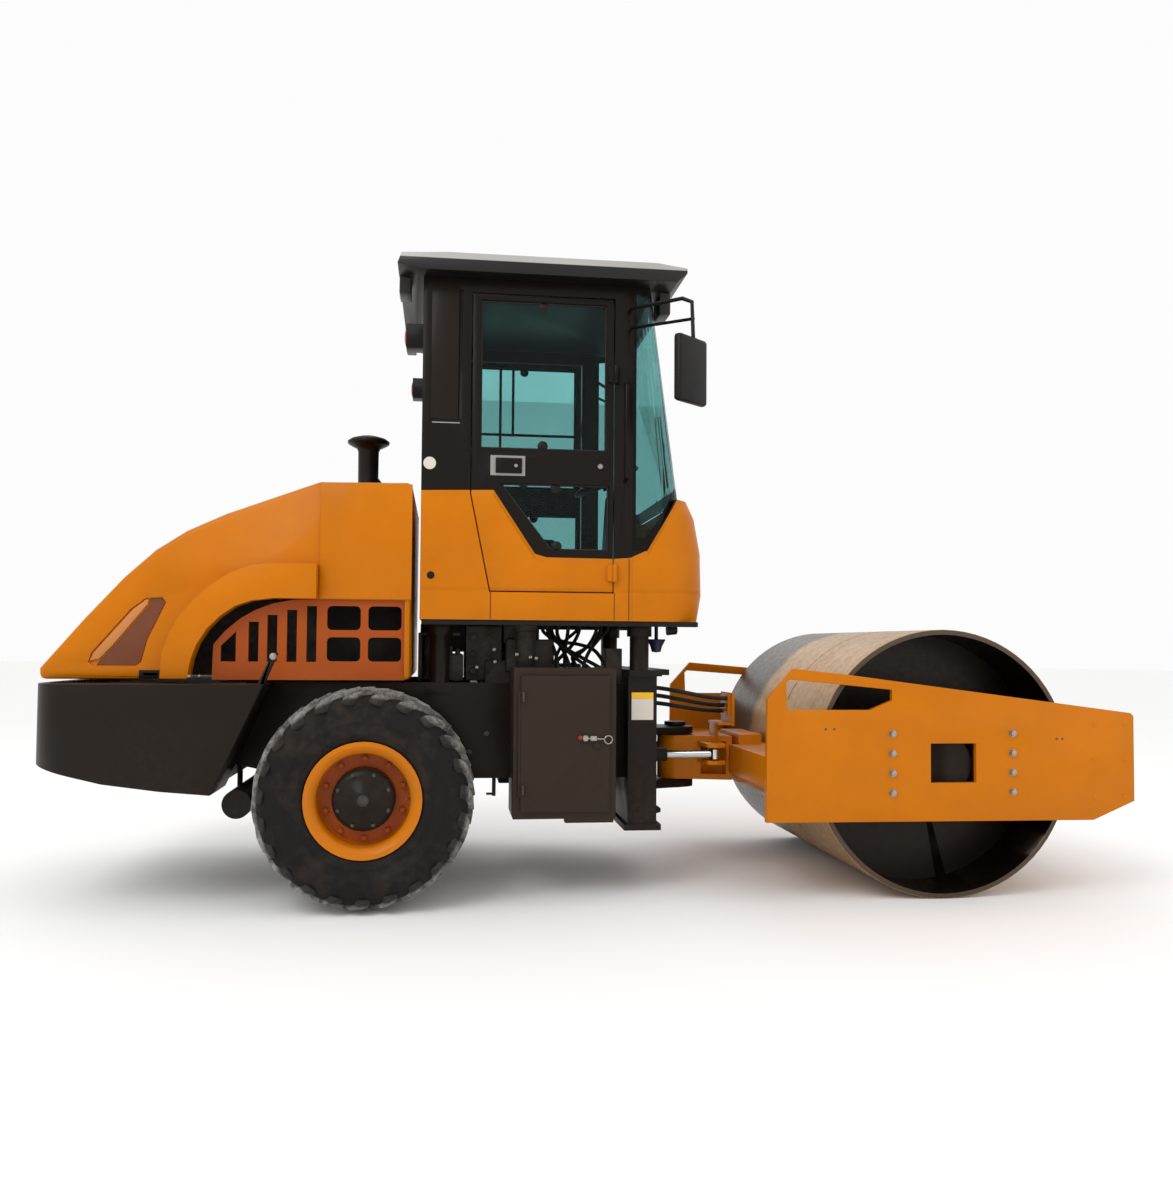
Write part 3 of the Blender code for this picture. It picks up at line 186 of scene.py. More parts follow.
def pipe(name, points, radius, sides=3, order=3, straight=False):
    deselectAll()
    bpy.ops.curve.primitive_nurbs_path_add(location=(0, 0, 0))
    obj = bpy.context.object
    obj.name = name
    line = obj.data.splines[0]
    line.points.add(max(0, len(points) - len(line.points)))
    for point, co in zip(line.points, list(points) + [points[-1]] * 5):
        point.co = (*co, 1)
    line.order_u = order
    line.use_endpoint_u = True
    if straight:
        line.type = "POLY"
    line.resolution_u = 6
    obj.data.bevel_depth = radius
    obj.data.bevel_resolution = sides
    obj.data.use_fill_caps = True
    makeActive(obj)
    bpy.ops.object.convert(target="MESH")
    obj = bpy.context.object
    editAll(obj, lambda: bpy.ops.mesh.remove_doubles(threshold=0.0002))
    return obj


def ringOf(name, places, fill):
    # a ring of as many points as the drawing has, each then moved to its own place
    deselectAll()
    bpy.ops.mesh.primitive_circle_add(vertices=len(places), radius=1, fill_type=fill, location=(0, 0, 0))
    obj = bpy.context.object
    obj.name = name
    for point, place in zip(obj.data.vertices, places):
        point.co = place
    return obj


def openRing(obj):
    # the edge between the drawing's last and first points goes
    editAll(obj, lambda: bpy.ops.mesh.select_all(action="DESELECT"))
    last = len(obj.data.vertices) - 1
    for edge in obj.data.edges:
        edge.select = set(edge.vertices) == {0, last}
    makeActive(obj)
    bpy.ops.object.mode_set(mode="EDIT")
    bpy.ops.mesh.select_mode(type="EDGE")
    bpy.ops.mesh.delete(type="EDGE")
    bpy.ops.object.mode_set(mode="OBJECT")


def outline(name, points, low, high, axis="Y"):
    order = {"Y": lambda p: (p[0], low, p[1]), "Z": lambda p: (p[0], p[1], low), "X": lambda p: (low, p[0], p[1])}
    away = {"Y": (0, high - low, 0), "Z": (0, 0, high - low), "X": (high - low, 0, 0)}[axis]
    obj = ringOf(name, [order[axis](p) for p in points], "NGON")
    editAll(
        obj,
        lambda: bpy.ops.mesh.extrude_region_move(TRANSFORM_OT_translate={"value": away}),
        lambda: bpy.ops.mesh.select_all(action="SELECT"),
        lambda: bpy.ops.mesh.normals_make_consistent(inside=False),
    )
    return obj


def turned(name, profile, centre, axis, steps=64):
    across = {
        "Y": lambda p: (centre[0], centre[1] + p[1], centre[2] + p[0]),
        "Z": lambda p: (centre[0] + p[0], centre[1], centre[2] + p[1]),
    }
    way = {"Y": (0, 1, 0), "Z": (0, 0, 1)}[axis]
    closed = profile[0] == profile[-1]
    obj = ringOf(name, [across[axis](p) for p in (profile[:-1] if closed else profile)], "NOTHING")
    if not closed:
        openRing(obj)
    editAll(
        obj,
        lambda: bpy.ops.mesh.spin(steps=steps, angle=2 * math.pi, center=centre, axis=way),
        lambda: bpy.ops.mesh.select_all(action="SELECT"),
        lambda: bpy.ops.mesh.remove_doubles(threshold=0.0001),
        lambda: bpy.ops.mesh.normals_make_consistent(inside=False),
    )
    return obj


def copyOf(obj, place=None):
    makeActive(obj)
    bpy.ops.object.duplicate(linked=False)
    twin = bpy.context.object
    if place is not None:
        twin.matrix_world = place @ twin.matrix_world
        applyPlace(twin)
    return twin


def joined(name, parts):
    deselectAll()
    for part in parts:
        part.select_set(True)
    bpy.context.view_layer.objects.active = parts[0]
    if len(parts) > 1:
        bpy.ops.object.join()
    obj = bpy.context.object
    obj.name = name
    obj.data.name = name
    return obj


def finished(obj, finish, body, smoothAngle=34):
    applyPlace(obj)
    if smoothAngle:
        smooth(obj, smoothAngle)
    obj.data.materials.clear()
    obj.data.materials.append(finish)
    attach(obj, body)
    return obj


# small tools for finishes
def toLinear(colour):
    parts = [int(colour[i : i + 2], 16) / 255 for i in (1, 3, 5)]
    return [c / 12.92 if c <= 0.04045 else ((c + 0.055) / 1.055) ** 2.4 for c in parts] + [1.0]


def addNode(tree, kind, settings=None, inputs=None):
    node = tree.nodes.new(kind)
    for key, value in (settings or {}).items():
        setattr(node, key, value)
    for key, value in (inputs or {}).items():
        socket = node.inputs[key]
        if isinstance(value, bpy.types.NodeSocket):
            tree.links.new(value, socket)
        else:
            socket.default_value = value
    return node


def newFinish(name, roughness, metallic=0.0, **more):
    finish = bpy.data.materials.new(name)
    finish.use_nodes = True
    tree = finish.node_tree
    shader = tree.nodes["Principled BSDF"]
    shader.inputs["Roughness"].default_value = roughness
    shader.inputs["Metallic"].default_value = metallic
    for key, value in more.items():
        shader.inputs[key.replace("_", " ")].default_value = value
    return finish, tree, shader


def noise(tree, where, scale, detail=3.0, rough=0.55):
    return addNode(
        tree, "ShaderNodeTexNoise", {}, {"Vector": where, "Scale": scale, "Detail": detail, "Roughness": rough}
    ).outputs["Fac"]


def spread(tree, value, low, high, outLow=0.0, outHigh=1.0):
    return addNode(
        tree, "ShaderNodeMapRange", {}, {
            "Value": value, "From Min": low, "From Max": high, "To Min": outLow, "To Max": outHigh
        }
    ).outputs["Result"]


def maths(tree, operation, a, b=0.0, clamp=False):
    return addNode(tree, "ShaderNodeMath", {"operation": operation, "use_clamp": clamp}, {0: a, 1: b}).outputs[0]


def blendColour(tree, amount, a, b, kind="MIX"):
    mix = addNode(tree, "ShaderNodeMix", {"data_type": "RGBA", "blend_type": kind})
    for key, value in (("Factor_Float", amount), ("A_Color", a), ("B_Color", b)):
        socket = [s for s in mix.inputs if s.identifier == key][0]
        if isinstance(value, bpy.types.NodeSocket):
            tree.links.new(value, socket)
        else:
            socket.default_value = value
    return [s for s in mix.outputs if s.identifier == "Result_Color"][0]


def objectPlace(tree):
    return addNode(tree, "ShaderNodeTexCoord").outputs["Object"]


def bump(tree, shader, height, strength, distance):
    made = addNode(tree, "ShaderNodeBump", {}, {"Height": height, "Strength": strength, "Distance": distance})
    tree.links.new(made.outputs["Normal"], shader.inputs["Normal"])


axles = {"wheel": (-1.133, 0.52), "drum": (1.703, 0.666)}  # x and z


def distanceFrom(tree, parts, axle):
    x, z = axles[axle]
    across = maths(tree, "SUBTRACT", parts.outputs["X"], x)
    up = maths(tree, "SUBTRACT", parts.outputs["Z"], z)
    flat = addNode(tree, "ShaderNodeCombineXYZ", {}, {"X": across, "Z": up}).outputs[0]
    return addNode(tree, "ShaderNodeVectorMath", {"operation": "LENGTH"}, {0: flat}).outputs["Value"]


finishes = {
    "yellow": "#C56F00",
    "yellowDeep": "#C07408",
    "black": "#1C150F",
    "dust": "#8A7A66",
    "rust": "#7A4A24",
}


def paintWork(name, colourOf, roughness=0.34, dustTop=0.9, dustAmount=0.12, coat=0.22, shine=0.22):
    # two-pack machine paint sprayed on sheet steel: satin, a faint orange peel, dust that settles low and on top
    finish, tree, shader = newFinish(name, roughness, Coat_Weight=coat, Coat_Roughness=0.12, Specular_IOR_Level=shine)
    place = objectPlace(tree)
    parts = addNode(tree, "ShaderNodeSeparateXYZ", {}, {"Vector": place})
    colour = colourOf(tree, place, parts)
    pressed = None
    if isinstance(colour, tuple):
        colour, pressed = colour
    patchy = noise(tree, place, 2.2, 5.0, 0.6)
    low = spread(tree, parts.outputs["Z"], dustTop, 0.35)
    fine = spread(tree, noise(tree, place, 26.0, 6.0, 0.7), 0.42, 0.68)
    amount = maths(tree, "MULTIPLY", maths(tree, "MULTIPLY", low, spread(tree, patchy, 0.35, 0.65)), fine)
    amount = maths(tree, "MULTIPLY", amount, dustAmount, True)
    facing = addNode(
        tree, "ShaderNodeSeparateXYZ", {}, {"Vector": addNode(tree, "ShaderNodeNewGeometry").outputs["Normal"]}
    )
    lying = maths(
        tree, "MULTIPLY", spread(tree, facing.outputs["Z"], 0.75, 1.0), spread(tree, patchy, 0.3, 0.7, 0.02, 0.12)
    )
    amount = maths(tree, "ADD", amount, lying, True)
    shade = blendColour(tree, spread(tree, patchy, 0.3, 0.7, 0.0, 0.16), colour, toLinear("#1A0E04"))
    tree.links.new(blendColour(tree, amount, shade, toLinear(finishes["dust"])), shader.inputs["Base Color"])
    tree.links.new(
        maths(tree, "ADD", roughness, maths(tree, "MULTIPLY", amount, 0.5), True), shader.inputs["Roughness"]
    )
    peel = addNode(
        tree, "ShaderNodeBump", {}, {"Height": noise(tree, place, 160.0, 2.0), "Strength": 0.12, "Distance": 0.0006}
    )
    if pressed is not None:
        tree.links.new(
            addNode(
                tree, "ShaderNodeBump", {}, {"Height": pressed, "Strength": 1.0, "Distance": 1.0}
            ).outputs["Normal"],
            peel.inputs["Normal"],
        )
    tree.links.new(peel.outputs["Normal"], shader.inputs["Normal"])
    return finish


def plain(colour):
    return lambda tree, place, parts: toLinear(colour) if isinstance(colour, str) else colour


yellowPaint = paintWork("yellow_machine_paint", plain(finishes["yellow"]), 0.36, 0.9, 0.05, 0.08, 0.09)
blackPaint = paintWork("black_frame_paint", plain(finishes["black"]), 0.40, 1.0, 0.06, 0.05, 0.12)
batteryPaint = paintWork("battery_box_paint", plain("#2E241B"), 0.40, 1.0, 0.06, 0.05, 0.12)
# the grille is painted a deeper orange than the hood: painted shade of its recess
grillePaintWithShade = paintWork("grille_paint", plain("#A04600"), 0.4, 0.9, 0.08, 0.05)


def rimColourWithDishShade(tree, place, parts):
    # the dish inside the rim's lip is painted a deeper orange than the lip: painted shade of the recessed dish
    radius = distanceFrom(tree, parts, "wheel")
    return blendColour(tree, spread(tree, radius, 0.205, 0.222), toLinear("#A54A00"), toLinear(finishes["yellow"]))


rimPaintWithDishShade = paintWork("rim_paint", rimColourWithDishShade, 0.36, 0.9, 0.08, 0.1, 0.12)

# the cab's sheet metal is yellow below a stepped line and black above it
cabLine = [
    (-0.894, 1.995),
    (-0.539, 2.005),
    (-0.331, 1.691),
    (-0.270, 1.675),
    (0.064, 1.673),
    (0.150, 1.680),
    (0.238, 1.721),
    (0.396, 1.985),
]


def cabColour(tree, place, parts):
    lowX, highX, lowZ, highZ = -0.95, 0.60, 1.60, 2.10
    curve = addNode(tree, "ShaderNodeFloatCurve")
    line = curve.mapping.curves[0]
    points = [((x - lowX) / (highX - lowX), (z - lowZ) / (highZ - lowZ)) for x, z in cabLine]
    while len(line.points) < len(points) + 2:
        line.points.new(0.5, 0.5)
    for point, at in zip(line.points, [(0.0, points[0][1])] + points + [(1.0, points[-1][1])]):
        point.location = at
        point.handle_type = "VECTOR"
    curve.mapping.update()
    tree.links.new(spread(tree, parts.outputs["X"], lowX, highX), curve.inputs["Value"])
    border = spread(tree, curve.outputs["Value"], 0.0, 1.0, lowZ, highZ)
    above = maths(tree, "GREATER_THAN", parts.outputs["Z"], border)
    # the pressed edge under the black band and the fold above the sill
    edge = spread(tree, maths(tree, "SUBTRACT", border, parts.outputs["Z"]), 0.004, 0.030, 0.0, 0.012)
    fold = spread(tree, parts.outputs["Z"], 1.524, 1.504, 0.0, -0.004)
    painted = blendColour(tree, above, toLinear(finishes["yellow"]), toLinear("#14100D"))
    return painted, maths(tree, "ADD", edge, fold)


cabPaint = paintWork("cab_two_colour_paint", cabColour, 0.38, 0.9, 0.06, 0.06, 0.09)


def moulded(name, colour, roughness, grain=900.0, depth=0.12, shine=0.35, dusty=0.06):
    # injection-moulded plastic with a spark-eroded grain that breaks up the shine
    finish, tree, shader = newFinish(name, roughness, Specular_IOR_Level=shine)
    place = objectPlace(tree)
    shade = spread(tree, noise(tree, place, 7.0, 4.0), 0.3, 0.7, 0.0, dusty)
    tree.links.new(blendColour(tree, shade, toLinear(colour), toLinear(finishes["dust"])), shader.inputs["Base Color"])
    bump(tree, shader, noise(tree, place, grain, 2.0), depth, 0.0004)
    return finish


blackPlastic = moulded("grained_black_plastic", "#0B0A0A", 0.42, 900.0, 0.12, 0.2, 0.02)


def roofColour(tree, place, parts):
    # the roof's upper shell is pale grey and its lining and gutter are black
    return blendColour(tree, spread(tree, parts.outputs["Z"], 3.116, 3.120), toLinear("#0D0B0A"), toLinear("#ACA9A4"))


roofPlastic = paintWork("roof_moulding", roofColour, 0.42, 0.9, 0.2, 0.1, 0.3)
seatVinyl = moulded("seat_vinyl", "#171616", 0.55, 320.0, 0.3)
hoseRubber = moulded("hose_rubber", "#141312", 0.62, 600.0, 0.2)


def tyreRubber():
    # vulcanised tread rubber: carbon black, matt, with pale dried mud on what has touched the ground
    finish, tree, shader = newFinish("tyre_rubber", 0.78, Specular_IOR_Level=0.25)
    place = objectPlace(tree)
    mud = spread(tree, noise(tree, place, 9.0, 6.0, 0.65), 0.46, 0.66, 0.0, 0.55)
    colour = blendColour(tree, mud, toLinear("#100E0D"), toLinear("#33281F"))
    tree.links.new(colour, shader.inputs["Base Color"])
    bump(tree, shader, noise(tree, place, 220.0, 4.0, 0.7), 0.35, 0.001)
    return finish


def lugRubber():
    # worn tops of the tread bars: scuffed to grey, with mud in the grooves
    finish, tree, shader = newFinish("tread_rubber", 0.85)
    place = objectPlace(tree)
    worn = spread(tree, noise(tree, place, 14.0, 5.0, 0.7), 0.40, 0.62, 0.15, 0.9)
    parts = addNode(tree, "ShaderNodeSeparateXYZ", {}, {"Vector": place})
    radius = distanceFrom(tree, parts, "wheel")
    worn = maths(tree, "MULTIPLY", worn, spread(tree, radius, 0.468, 0.486, 0.05, 1.0))
    colour = blendColour(tree, worn, toLinear("#14110F"), toLinear("#9A9791"))
    tree.links.new(colour, shader.inputs["Base Color"])
    bump(tree, shader, noise(tree, place, 160.0, 4.0, 0.7), 0.4, 0.0015)
    return finish


def rolledSteel():
    # drum plate: hot-rolled steel worn by soil, brown rust with lighter tracks round the drum
    finish, tree, shader = newFinish("drum_steel", 0.4, 0.62)
    place = objectPlace(tree)
    parts = addNode(tree, "ShaderNodeSeparateXYZ", {}, {"Vector": place})
    stretched = addNode(tree, "ShaderNodeMapping", {}, {"Vector": place, "Scale": (1.0, 5.0, 1.0)}).outputs["Vector"]
    tracks = spread(tree, noise(tree, stretched, 2.6, 6.0, 0.65), 0.38, 0.62)
    speck = spread(tree, noise(tree, place, 34.0, 6.0, 0.7), 0.40, 0.66)
    wobble = maths(tree, "MULTIPLY", maths(tree, "SUBTRACT", noise(tree, place, 3.0, 4.0), 0.5), 0.25)
    # grey over the drum's left part, from about y 0.26 on, tan over the rest
    leftGreyBand = spread(tree, maths(tree, "ADD", parts.outputs["Y"], wobble), 0.22, 0.30)
    tan = blendColour(tree, tracks, toLinear("#A17B4D"), toLinear("#AE8C5E"))
    grey = blendColour(tree, tracks, toLinear("#47423D"), toLinear("#544E48"))
    face = blendColour(tree, leftGreyBand, tan, grey)
    face = blendColour(tree, maths(tree, "MULTIPLY", speck, 0.14), face, toLinear("#6B4A2A"))
    # the shell's inside, under 0.65 m from the axis, is painted near black: painted shade
    radius = distanceFrom(tree, parts, "drum")
    insideShade = blendColour(tree, spread(tree, radius, 0.650, 0.644), face, toLinear("#1B120B"))
    # the flame-cut end faces keep their mill scale
    rim = spread(tree, maths(tree, "ABSOLUTE", parts.outputs["Y"], 0.0), 0.8575, 0.8590)
    tree.links.new(blendColour(tree, rim, insideShade, toLinear("#4E4135")), shader.inputs["Base Color"])
    tree.links.new(spread(tree, speck, 0.0, 1.0, 0.30, 0.46), shader.inputs["Roughness"])
    bump(tree, shader, noise(tree, place, 60.0, 4.0, 0.6), 0.12, 0.0006)
    return finish


def castIron(name, colour, roughness=0.7):
    # sand-cast iron under oil and dust
    finish, tree, shader = newFinish(name, roughness, 0.2)
    place = objectPlace(tree)
    oily = spread(tree, noise(tree, place, 8.0, 6.0, 0.7), 0.35, 0.65)
    tree.links.new(blendColour(tree, oily, toLinear(colour), toLinear("#4A4036")), shader.inputs["Base Color"])
    bump(tree, shader, noise(tree, place, 120.0, 4.0), 0.4, 0.0012)
    return finish


def brightMetal(name, colour, roughness):
    # turned and plated steel, with faint machining lines
    finish, tree, shader = newFinish(name, roughness, 1.0)
    place = objectPlace(tree)
    lines = noise(
        tree,
        addNode(tree, "ShaderNodeMapping", {}, {"Vector": place, "Scale": (1, 1, 12)}).outputs["Vector"],
        80.0,
        2.0,
    )
    tree.links.new(
        blendColour(tree, spread(tree, lines, 0.35, 0.65, 0.0, 0.35), toLinear(colour), toLinear("#5A554E")),
        shader.inputs["Base Color"],
    )
    bump(tree, shader, lines, 0.06, 0.0003)
    return finish


def glazing(name, colour):
    # toughened float glass with a green-blue body tint
    finish, tree, shader = newFinish(name, 0.0, IOR=1.2, Transmission_Weight=1.0)
    place = objectPlace(tree)
    film = spread(tree, noise(tree, place, 3.0, 4.0), 0.35, 0.7, 0.0, 0.25)
    tree.links.new(blendColour(tree, film, toLinear(colour), toLinear("#86AEAC")), shader.inputs["Base Color"])
    return finish


# where the windscreen's black print ends: a sloped foot, the pillar and the header
screenPrint = {
    "x": 0.238,
    "z": 1.721,
    "slope": 1.671,
    "low": 1.715,
    "high": 1.985,
    "margin": 0.065,
    "pillar": 0.176,
    "header": 3.020,
}


def edgePrint(finish):
    # a black ceramic print that hides the glue
    tree = finish.node_tree
    shader = tree.nodes["Principled BSDF"]
    parts = addNode(tree, "ShaderNodeSeparateXYZ", {}, {"Vector": objectPlace(tree)})
    along = maths(tree, "SUBTRACT", parts.outputs["X"], screenPrint["x"])
    slope = maths(tree, "ADD", maths(tree, "MULTIPLY", along, screenPrint["slope"]), screenPrint["z"])
    foot = maths(tree, "MINIMUM", maths(tree, "MAXIMUM", slope, screenPrint["low"]), screenPrint["high"])
    low = maths(tree, "LESS_THAN", parts.outputs["Z"], maths(tree, "ADD", foot, screenPrint["margin"]))
    beside = maths(tree, "LESS_THAN", parts.outputs["X"], screenPrint["pillar"])
    over = maths(tree, "GREATER_THAN", parts.outputs["Z"], screenPrint["header"])
    printed = maths(tree, "MAXIMUM", maths(tree, "MAXIMUM", low, beside), over)
    tinted = shader.inputs["Base Color"].links[0].from_socket
    tree.links.new(blendColour(tree, printed, tinted, toLinear("#100D0B")), shader.inputs["Base Color"])
    tree.links.new(maths(tree, "SUBTRACT", 1.0, printed), shader.inputs["Transmission Weight"])
    tree.links.new(spread(tree, printed, 0.0, 1.0, 0.02, 0.3), shader.inputs["Roughness"])
    return finish


tyreFinish = tyreRubber()
lugFinish = lugRubber()
drumSteel = rolledSteel()
ironFinish = castIron("engine_iron", "#1D1B1A")
boltSteel = brightMetal("zinc_plated_bolts", "#A9A49A", 0.38)
rodChrome = brightMetal("chromed_rod", "#C9C9C7", 0.12)
cabGlass = glazing("tinted_cab_glass", "#9DC6C5")
screenGlass = edgePrint(glazing("windscreen_glass", "#9DC6C5"))
mirrorGlass = brightMetal("mirror_silver", "#D8DCDC", 0.04)
boltDark = castIron("dark_fasteners", "#262220", 0.5)
rustyBrown = castIron("rusty_cap", "#5A3A22", 0.75)
weldRust = castIron("weld_bead", "#7A4316", 0.7)
redPlastic = moulded("red_plastic", "#9A1410", 0.35)
plateFoil = moulded("blank_plate_foil", "#CDC6BA", 0.4, 700.0, 0.05)
bandYellow = moulded("plate_band", "#E8B010", 0.4, 700.0, 0.05)
greyPlastic = moulded("grey_plastic", "#8E8C88", 0.45)
blueShell = moulded("blue_horn_shell", "#1B2440", 0.4)
seamBlack = moulded("hood_lining", "#0C0B0B", 0.8)
seamDark = moulded("seam_shadow", "#2A1404", 0.8)
amberLens = moulded("amber_lens", "#C27A3B", 0.12, 60.0, 0.05)
darkLens = moulded("smoked_lens", "#6B3310", 0.2, 60.0, 0.05)
redLens = moulded("red_lens", "#A3120C", 0.1, 60.0, 0.05)
clearLens = moulded("work_light_glass", "#D9DCDC", 0.08, 90.0, 0.2)
rubberSeal = moulded("window_seal_rubber", "#121111", 0.6, 500.0)
print("finishes made")

# each sheet-metal and cast node keeps its shape: a merged copy carries smooth curves and softened edges
edgeWidths = {
    "hood_shell": 0.006,
    "counterweight": 0.008,
    "cab_nose": 0.004,
    "cab_roof": 0.012,
    "hitch_post": 0.003,
    "hitch_yoke": 0.003,
    "drum_plate_right": 0.003,
    "drum_plate_left": 0.003,
    "drum_frame_front_beam": 0.004,
    "drum_frame_rear_beam": 0.004,
    "battery_box": 0.004,
    "battery_box_door": 0.003,
    "oil_tank": 0.008,
    "rear_chassis": 0.003,
    "engine_block": 0.01,
    "pump_block": 0.008,
    "mirror_right": 0.018,
    "mirror_left": 0.018,
    "steering_console": 0.02,
    "cab_side_right": 0.002,
    "cab_side_left": 0.002,
    "door_right": 0.002,
    "door_left": 0.002,
    "cab_rear_panel": 0.003,
}
nodeFinish = {
    "hood_shell": yellowPaint,
    "hood_grille_right": grillePaintWithShade,
    "hood_grille_left": grillePaintWithShade,
    "battery_box": batteryPaint,
    "battery_box_door": batteryPaint,
    "hood_rear_grille": blackPaint,
    "rim_right": rimPaintWithDishShade,
    "rim_left": rimPaintWithDishShade,
    "cab_nose": cabPaint,
    "cab_side_right": cabPaint,
    "cab_side_left": cabPaint,
    "door_right": cabPaint,
    "door_left": cabPaint,
    "cab_rear_panel": cabPaint,
    "hitch_yoke": yellowPaint,
    "drum_plate_right": yellowPaint,
    "drum_plate_left": yellowPaint,
    "drum_frame_rear_beam": yellowPaint,
    "drum_frame_front_beam": yellowPaint,
    "drum_shell": drumSteel,
    "engine_block": ironFinish,
    "pump_block": ironFinish,
    "rear_axle": ironFinish,
    "vibrator_housing": ironFinish,
    "cab_roof": roofPlastic,
    "air_pre_cleaner": blackPlastic,
    "mirror_right": blackPlastic,
    "mirror_left": blackPlastic,
    "steering_console": blackPlastic,
    "steering_wheel": blackPlastic,
    "steering_rod_right": rodChrome,
    "steering_rod_left": rodChrome,
}
ownPieces = {
    "tyre_right", "tyre_left", "seat", "air_pre_cleaner", "steering_hose_1", "steering_hose_2", "steering_hose_3"
}


def roundMirror(obj, width):
    # only the head's own edges, which lie below the arms
    editAll(obj, lambda: bpy.ops.mesh.select_all(action="DESELECT"))
    for edge in obj.data.edges:
        ends = [obj.data.vertices[i].co for i in edge.vertices]
        edge.select = all(p.z < 2.72 for p in ends) and (ends[0] - ends[1]).length > 0.2
    makeActive(obj)
    bpy.ops.object.mode_set(mode="EDIT")
    bpy.ops.mesh.select_mode(type="EDGE")
    bpy.ops.mesh.bevel(offset=width, segments=4, affect="EDGES")
    bpy.ops.object.mode_set(mode="OBJECT")


def refinedNode(node):
    deselectAll()
    source = nodes[node]
    makeActive(source)
    bpy.ops.object.duplicate(linked=False)
    obj = bpy.context.object
    obj.parent = None
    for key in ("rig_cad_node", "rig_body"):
        if key in obj:
            del obj[key]
    obj.name = node + "_finished"
    obj.data.name = obj.name
    editAll(
        obj,
        lambda: bpy.ops.mesh.remove_doubles(threshold=0.00004),
        lambda: bpy.ops.mesh.dissolve_limited(angle_limit=math.radians(0.8)),
    )
    if node.startswith("mirror"):
        roundMirror(obj, edgeWidths[node])
    elif node in edgeWidths:
        roundEdges(obj, edgeWidths[node])
    finished(obj, nodeFinish.get(node, blackPaint), bodyOf[node], 32)
    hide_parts(node)
    return obj


for node in sorted(nodes):
    if "glass" in node or node in ("windscreen", "rear_window"):
        nodes[node].data.materials.clear()
        nodes[node].data.materials.append(screenGlass if node == "windscreen" else cabGlass)
    elif node not in ownPieces:
        refinedNode(node)
print("frame nodes finished")

# floor and studio light
studio = {"floor": "#FAFAF9", "world": "#FAFAFA", "worldStrength": 1.02, "key": 340, "fill": 60}


def makeStudio():
    deselectAll()
    bpy.ops.mesh.primitive_circle_add(vertices=96, radius=70, fill_type="NGON", location=(0, 0, 0))
    floor = bpy.context.object
    floor.name = "floor"
    finish, tree, shader = newFinish("studio_floor", 0.85)
    shader.inputs["Base Color"].default_value = toLinear(studio["floor"])
    floor.data.materials.append(finish)
    world = bpy.context.scene.world or bpy.data.worlds.new("studio")
    bpy.context.scene.world = world
    world.use_nodes = True
    sky = world.node_tree.nodes["Background"]
    sky.inputs["Color"].default_value = toLinear(studio["world"])
    sky.inputs["Strength"].default_value = studio["worldStrength"]
    bpy.context.scene.view_settings.view_transform = "Standard"
    for place, size, power in (
        ((-5.0, -7.0, 8.0), 5.0, studio["key"]),
        ((6.0, -6.0, 4.0), 6.0, studio["fill"]),
        ((0.0, 7.0, 7.0), 6.0, studio["fill"]),
    ):
        bpy.ops.object.light_add(type="AREA", location=place)
        lamp = bpy.context.object
        lamp.data.size = size
        lamp.data.energy = power
        lamp.rotation_euler = (Vector((0, 0, 1.2)) - Vector(place)).to_track_quat("-Z", "Y").to_euler()


makeStudio()

# a repeated fastener is modelled once and copied to each place
def turnedTo(place, way):
    return Matrix.Translation(Vector(place)) @ Vector(way).to_track_quat("Z", "Y").to_matrix().to_4x4()


def scatter(name, model, places, way, finish, body):
    copies = [copyOf(model, turnedTo(place, way)) for place in places]
    deselectAll()
    bpy.data.objects.remove(model, do_unlink=True)
    return finished(joined(name, copies), finish, body)


def boltHead(across, height, washer=0.25):
    base = rod("washer", (0, 0, 0), (0, 0, height * washer), across * 0.62, 20)
    head = rod("head", (0, 0, height * washer), (0, 0, height), across * 0.5, 6, None, across * 0.05)
    return joined("bolt", [base, head])


def buttonHead(radius, height):
    return turned(
        "button",
        [(0, height), (radius * 0.55, height * 0.92), (radius, height * 0.35), (radius, 0), (0, 0)],
        (0, 0, 0),
        "Z",
        20,
    )


def smoothPath(knots, per=6):
    # a curve through every knot
    points = [Vector(p) for p in knots]
    ends = [points[0] * 2 - points[1]] + points + [points[-1] * 2 - points[-2]]
    path = []
    for i in range(1, len(ends) - 2):
        a, b, c, d = ends[i - 1 : i + 3]
        for step in range(per):
            t = step / per
            path.append(
                0.5 * (2 * b + (c - a) * t + (2 * a - 5 * b + 4 * c - d) * t * t + (3 * b - a - 3 * c + d) * t**3)
            )
    return path + [points[-1]]


# tyres
tyre = {
    "centreX": axles["wheel"][0],
    "centreY": 0.745,
    "radius": axles["wheel"][1],
    "lugsPerSide": 23,
    "lugWidth": 0.054,
    "lugTurnDeg": 38,
    "half": [
        (0.263, 0.160), (0.285, 0.180), (0.300, 0.184), (0.306, 0.189), (0.314, 0.189), (0.320, 0.186), (0.355, 0.199),
        (0.361, 0.203), (
            0.369, 0.2035
        ), (0.375, 0.201), (0.402, 0.2025), (0.430, 0.200), (0.452, 0.193), (0.468, 0.182),
        (0.478, 0.166), (0.484, 0.12),
    ],
    "lug": [
        (-0.045, 0.470), (-0.045, 0.507), (0.050, 0.509), (0.120, 0.506), (0.180, 0.494), (0.222, 0.474),
        (0.241, 0.448), (0.232, 0.436), (0.205, 0.440),
    ],
}


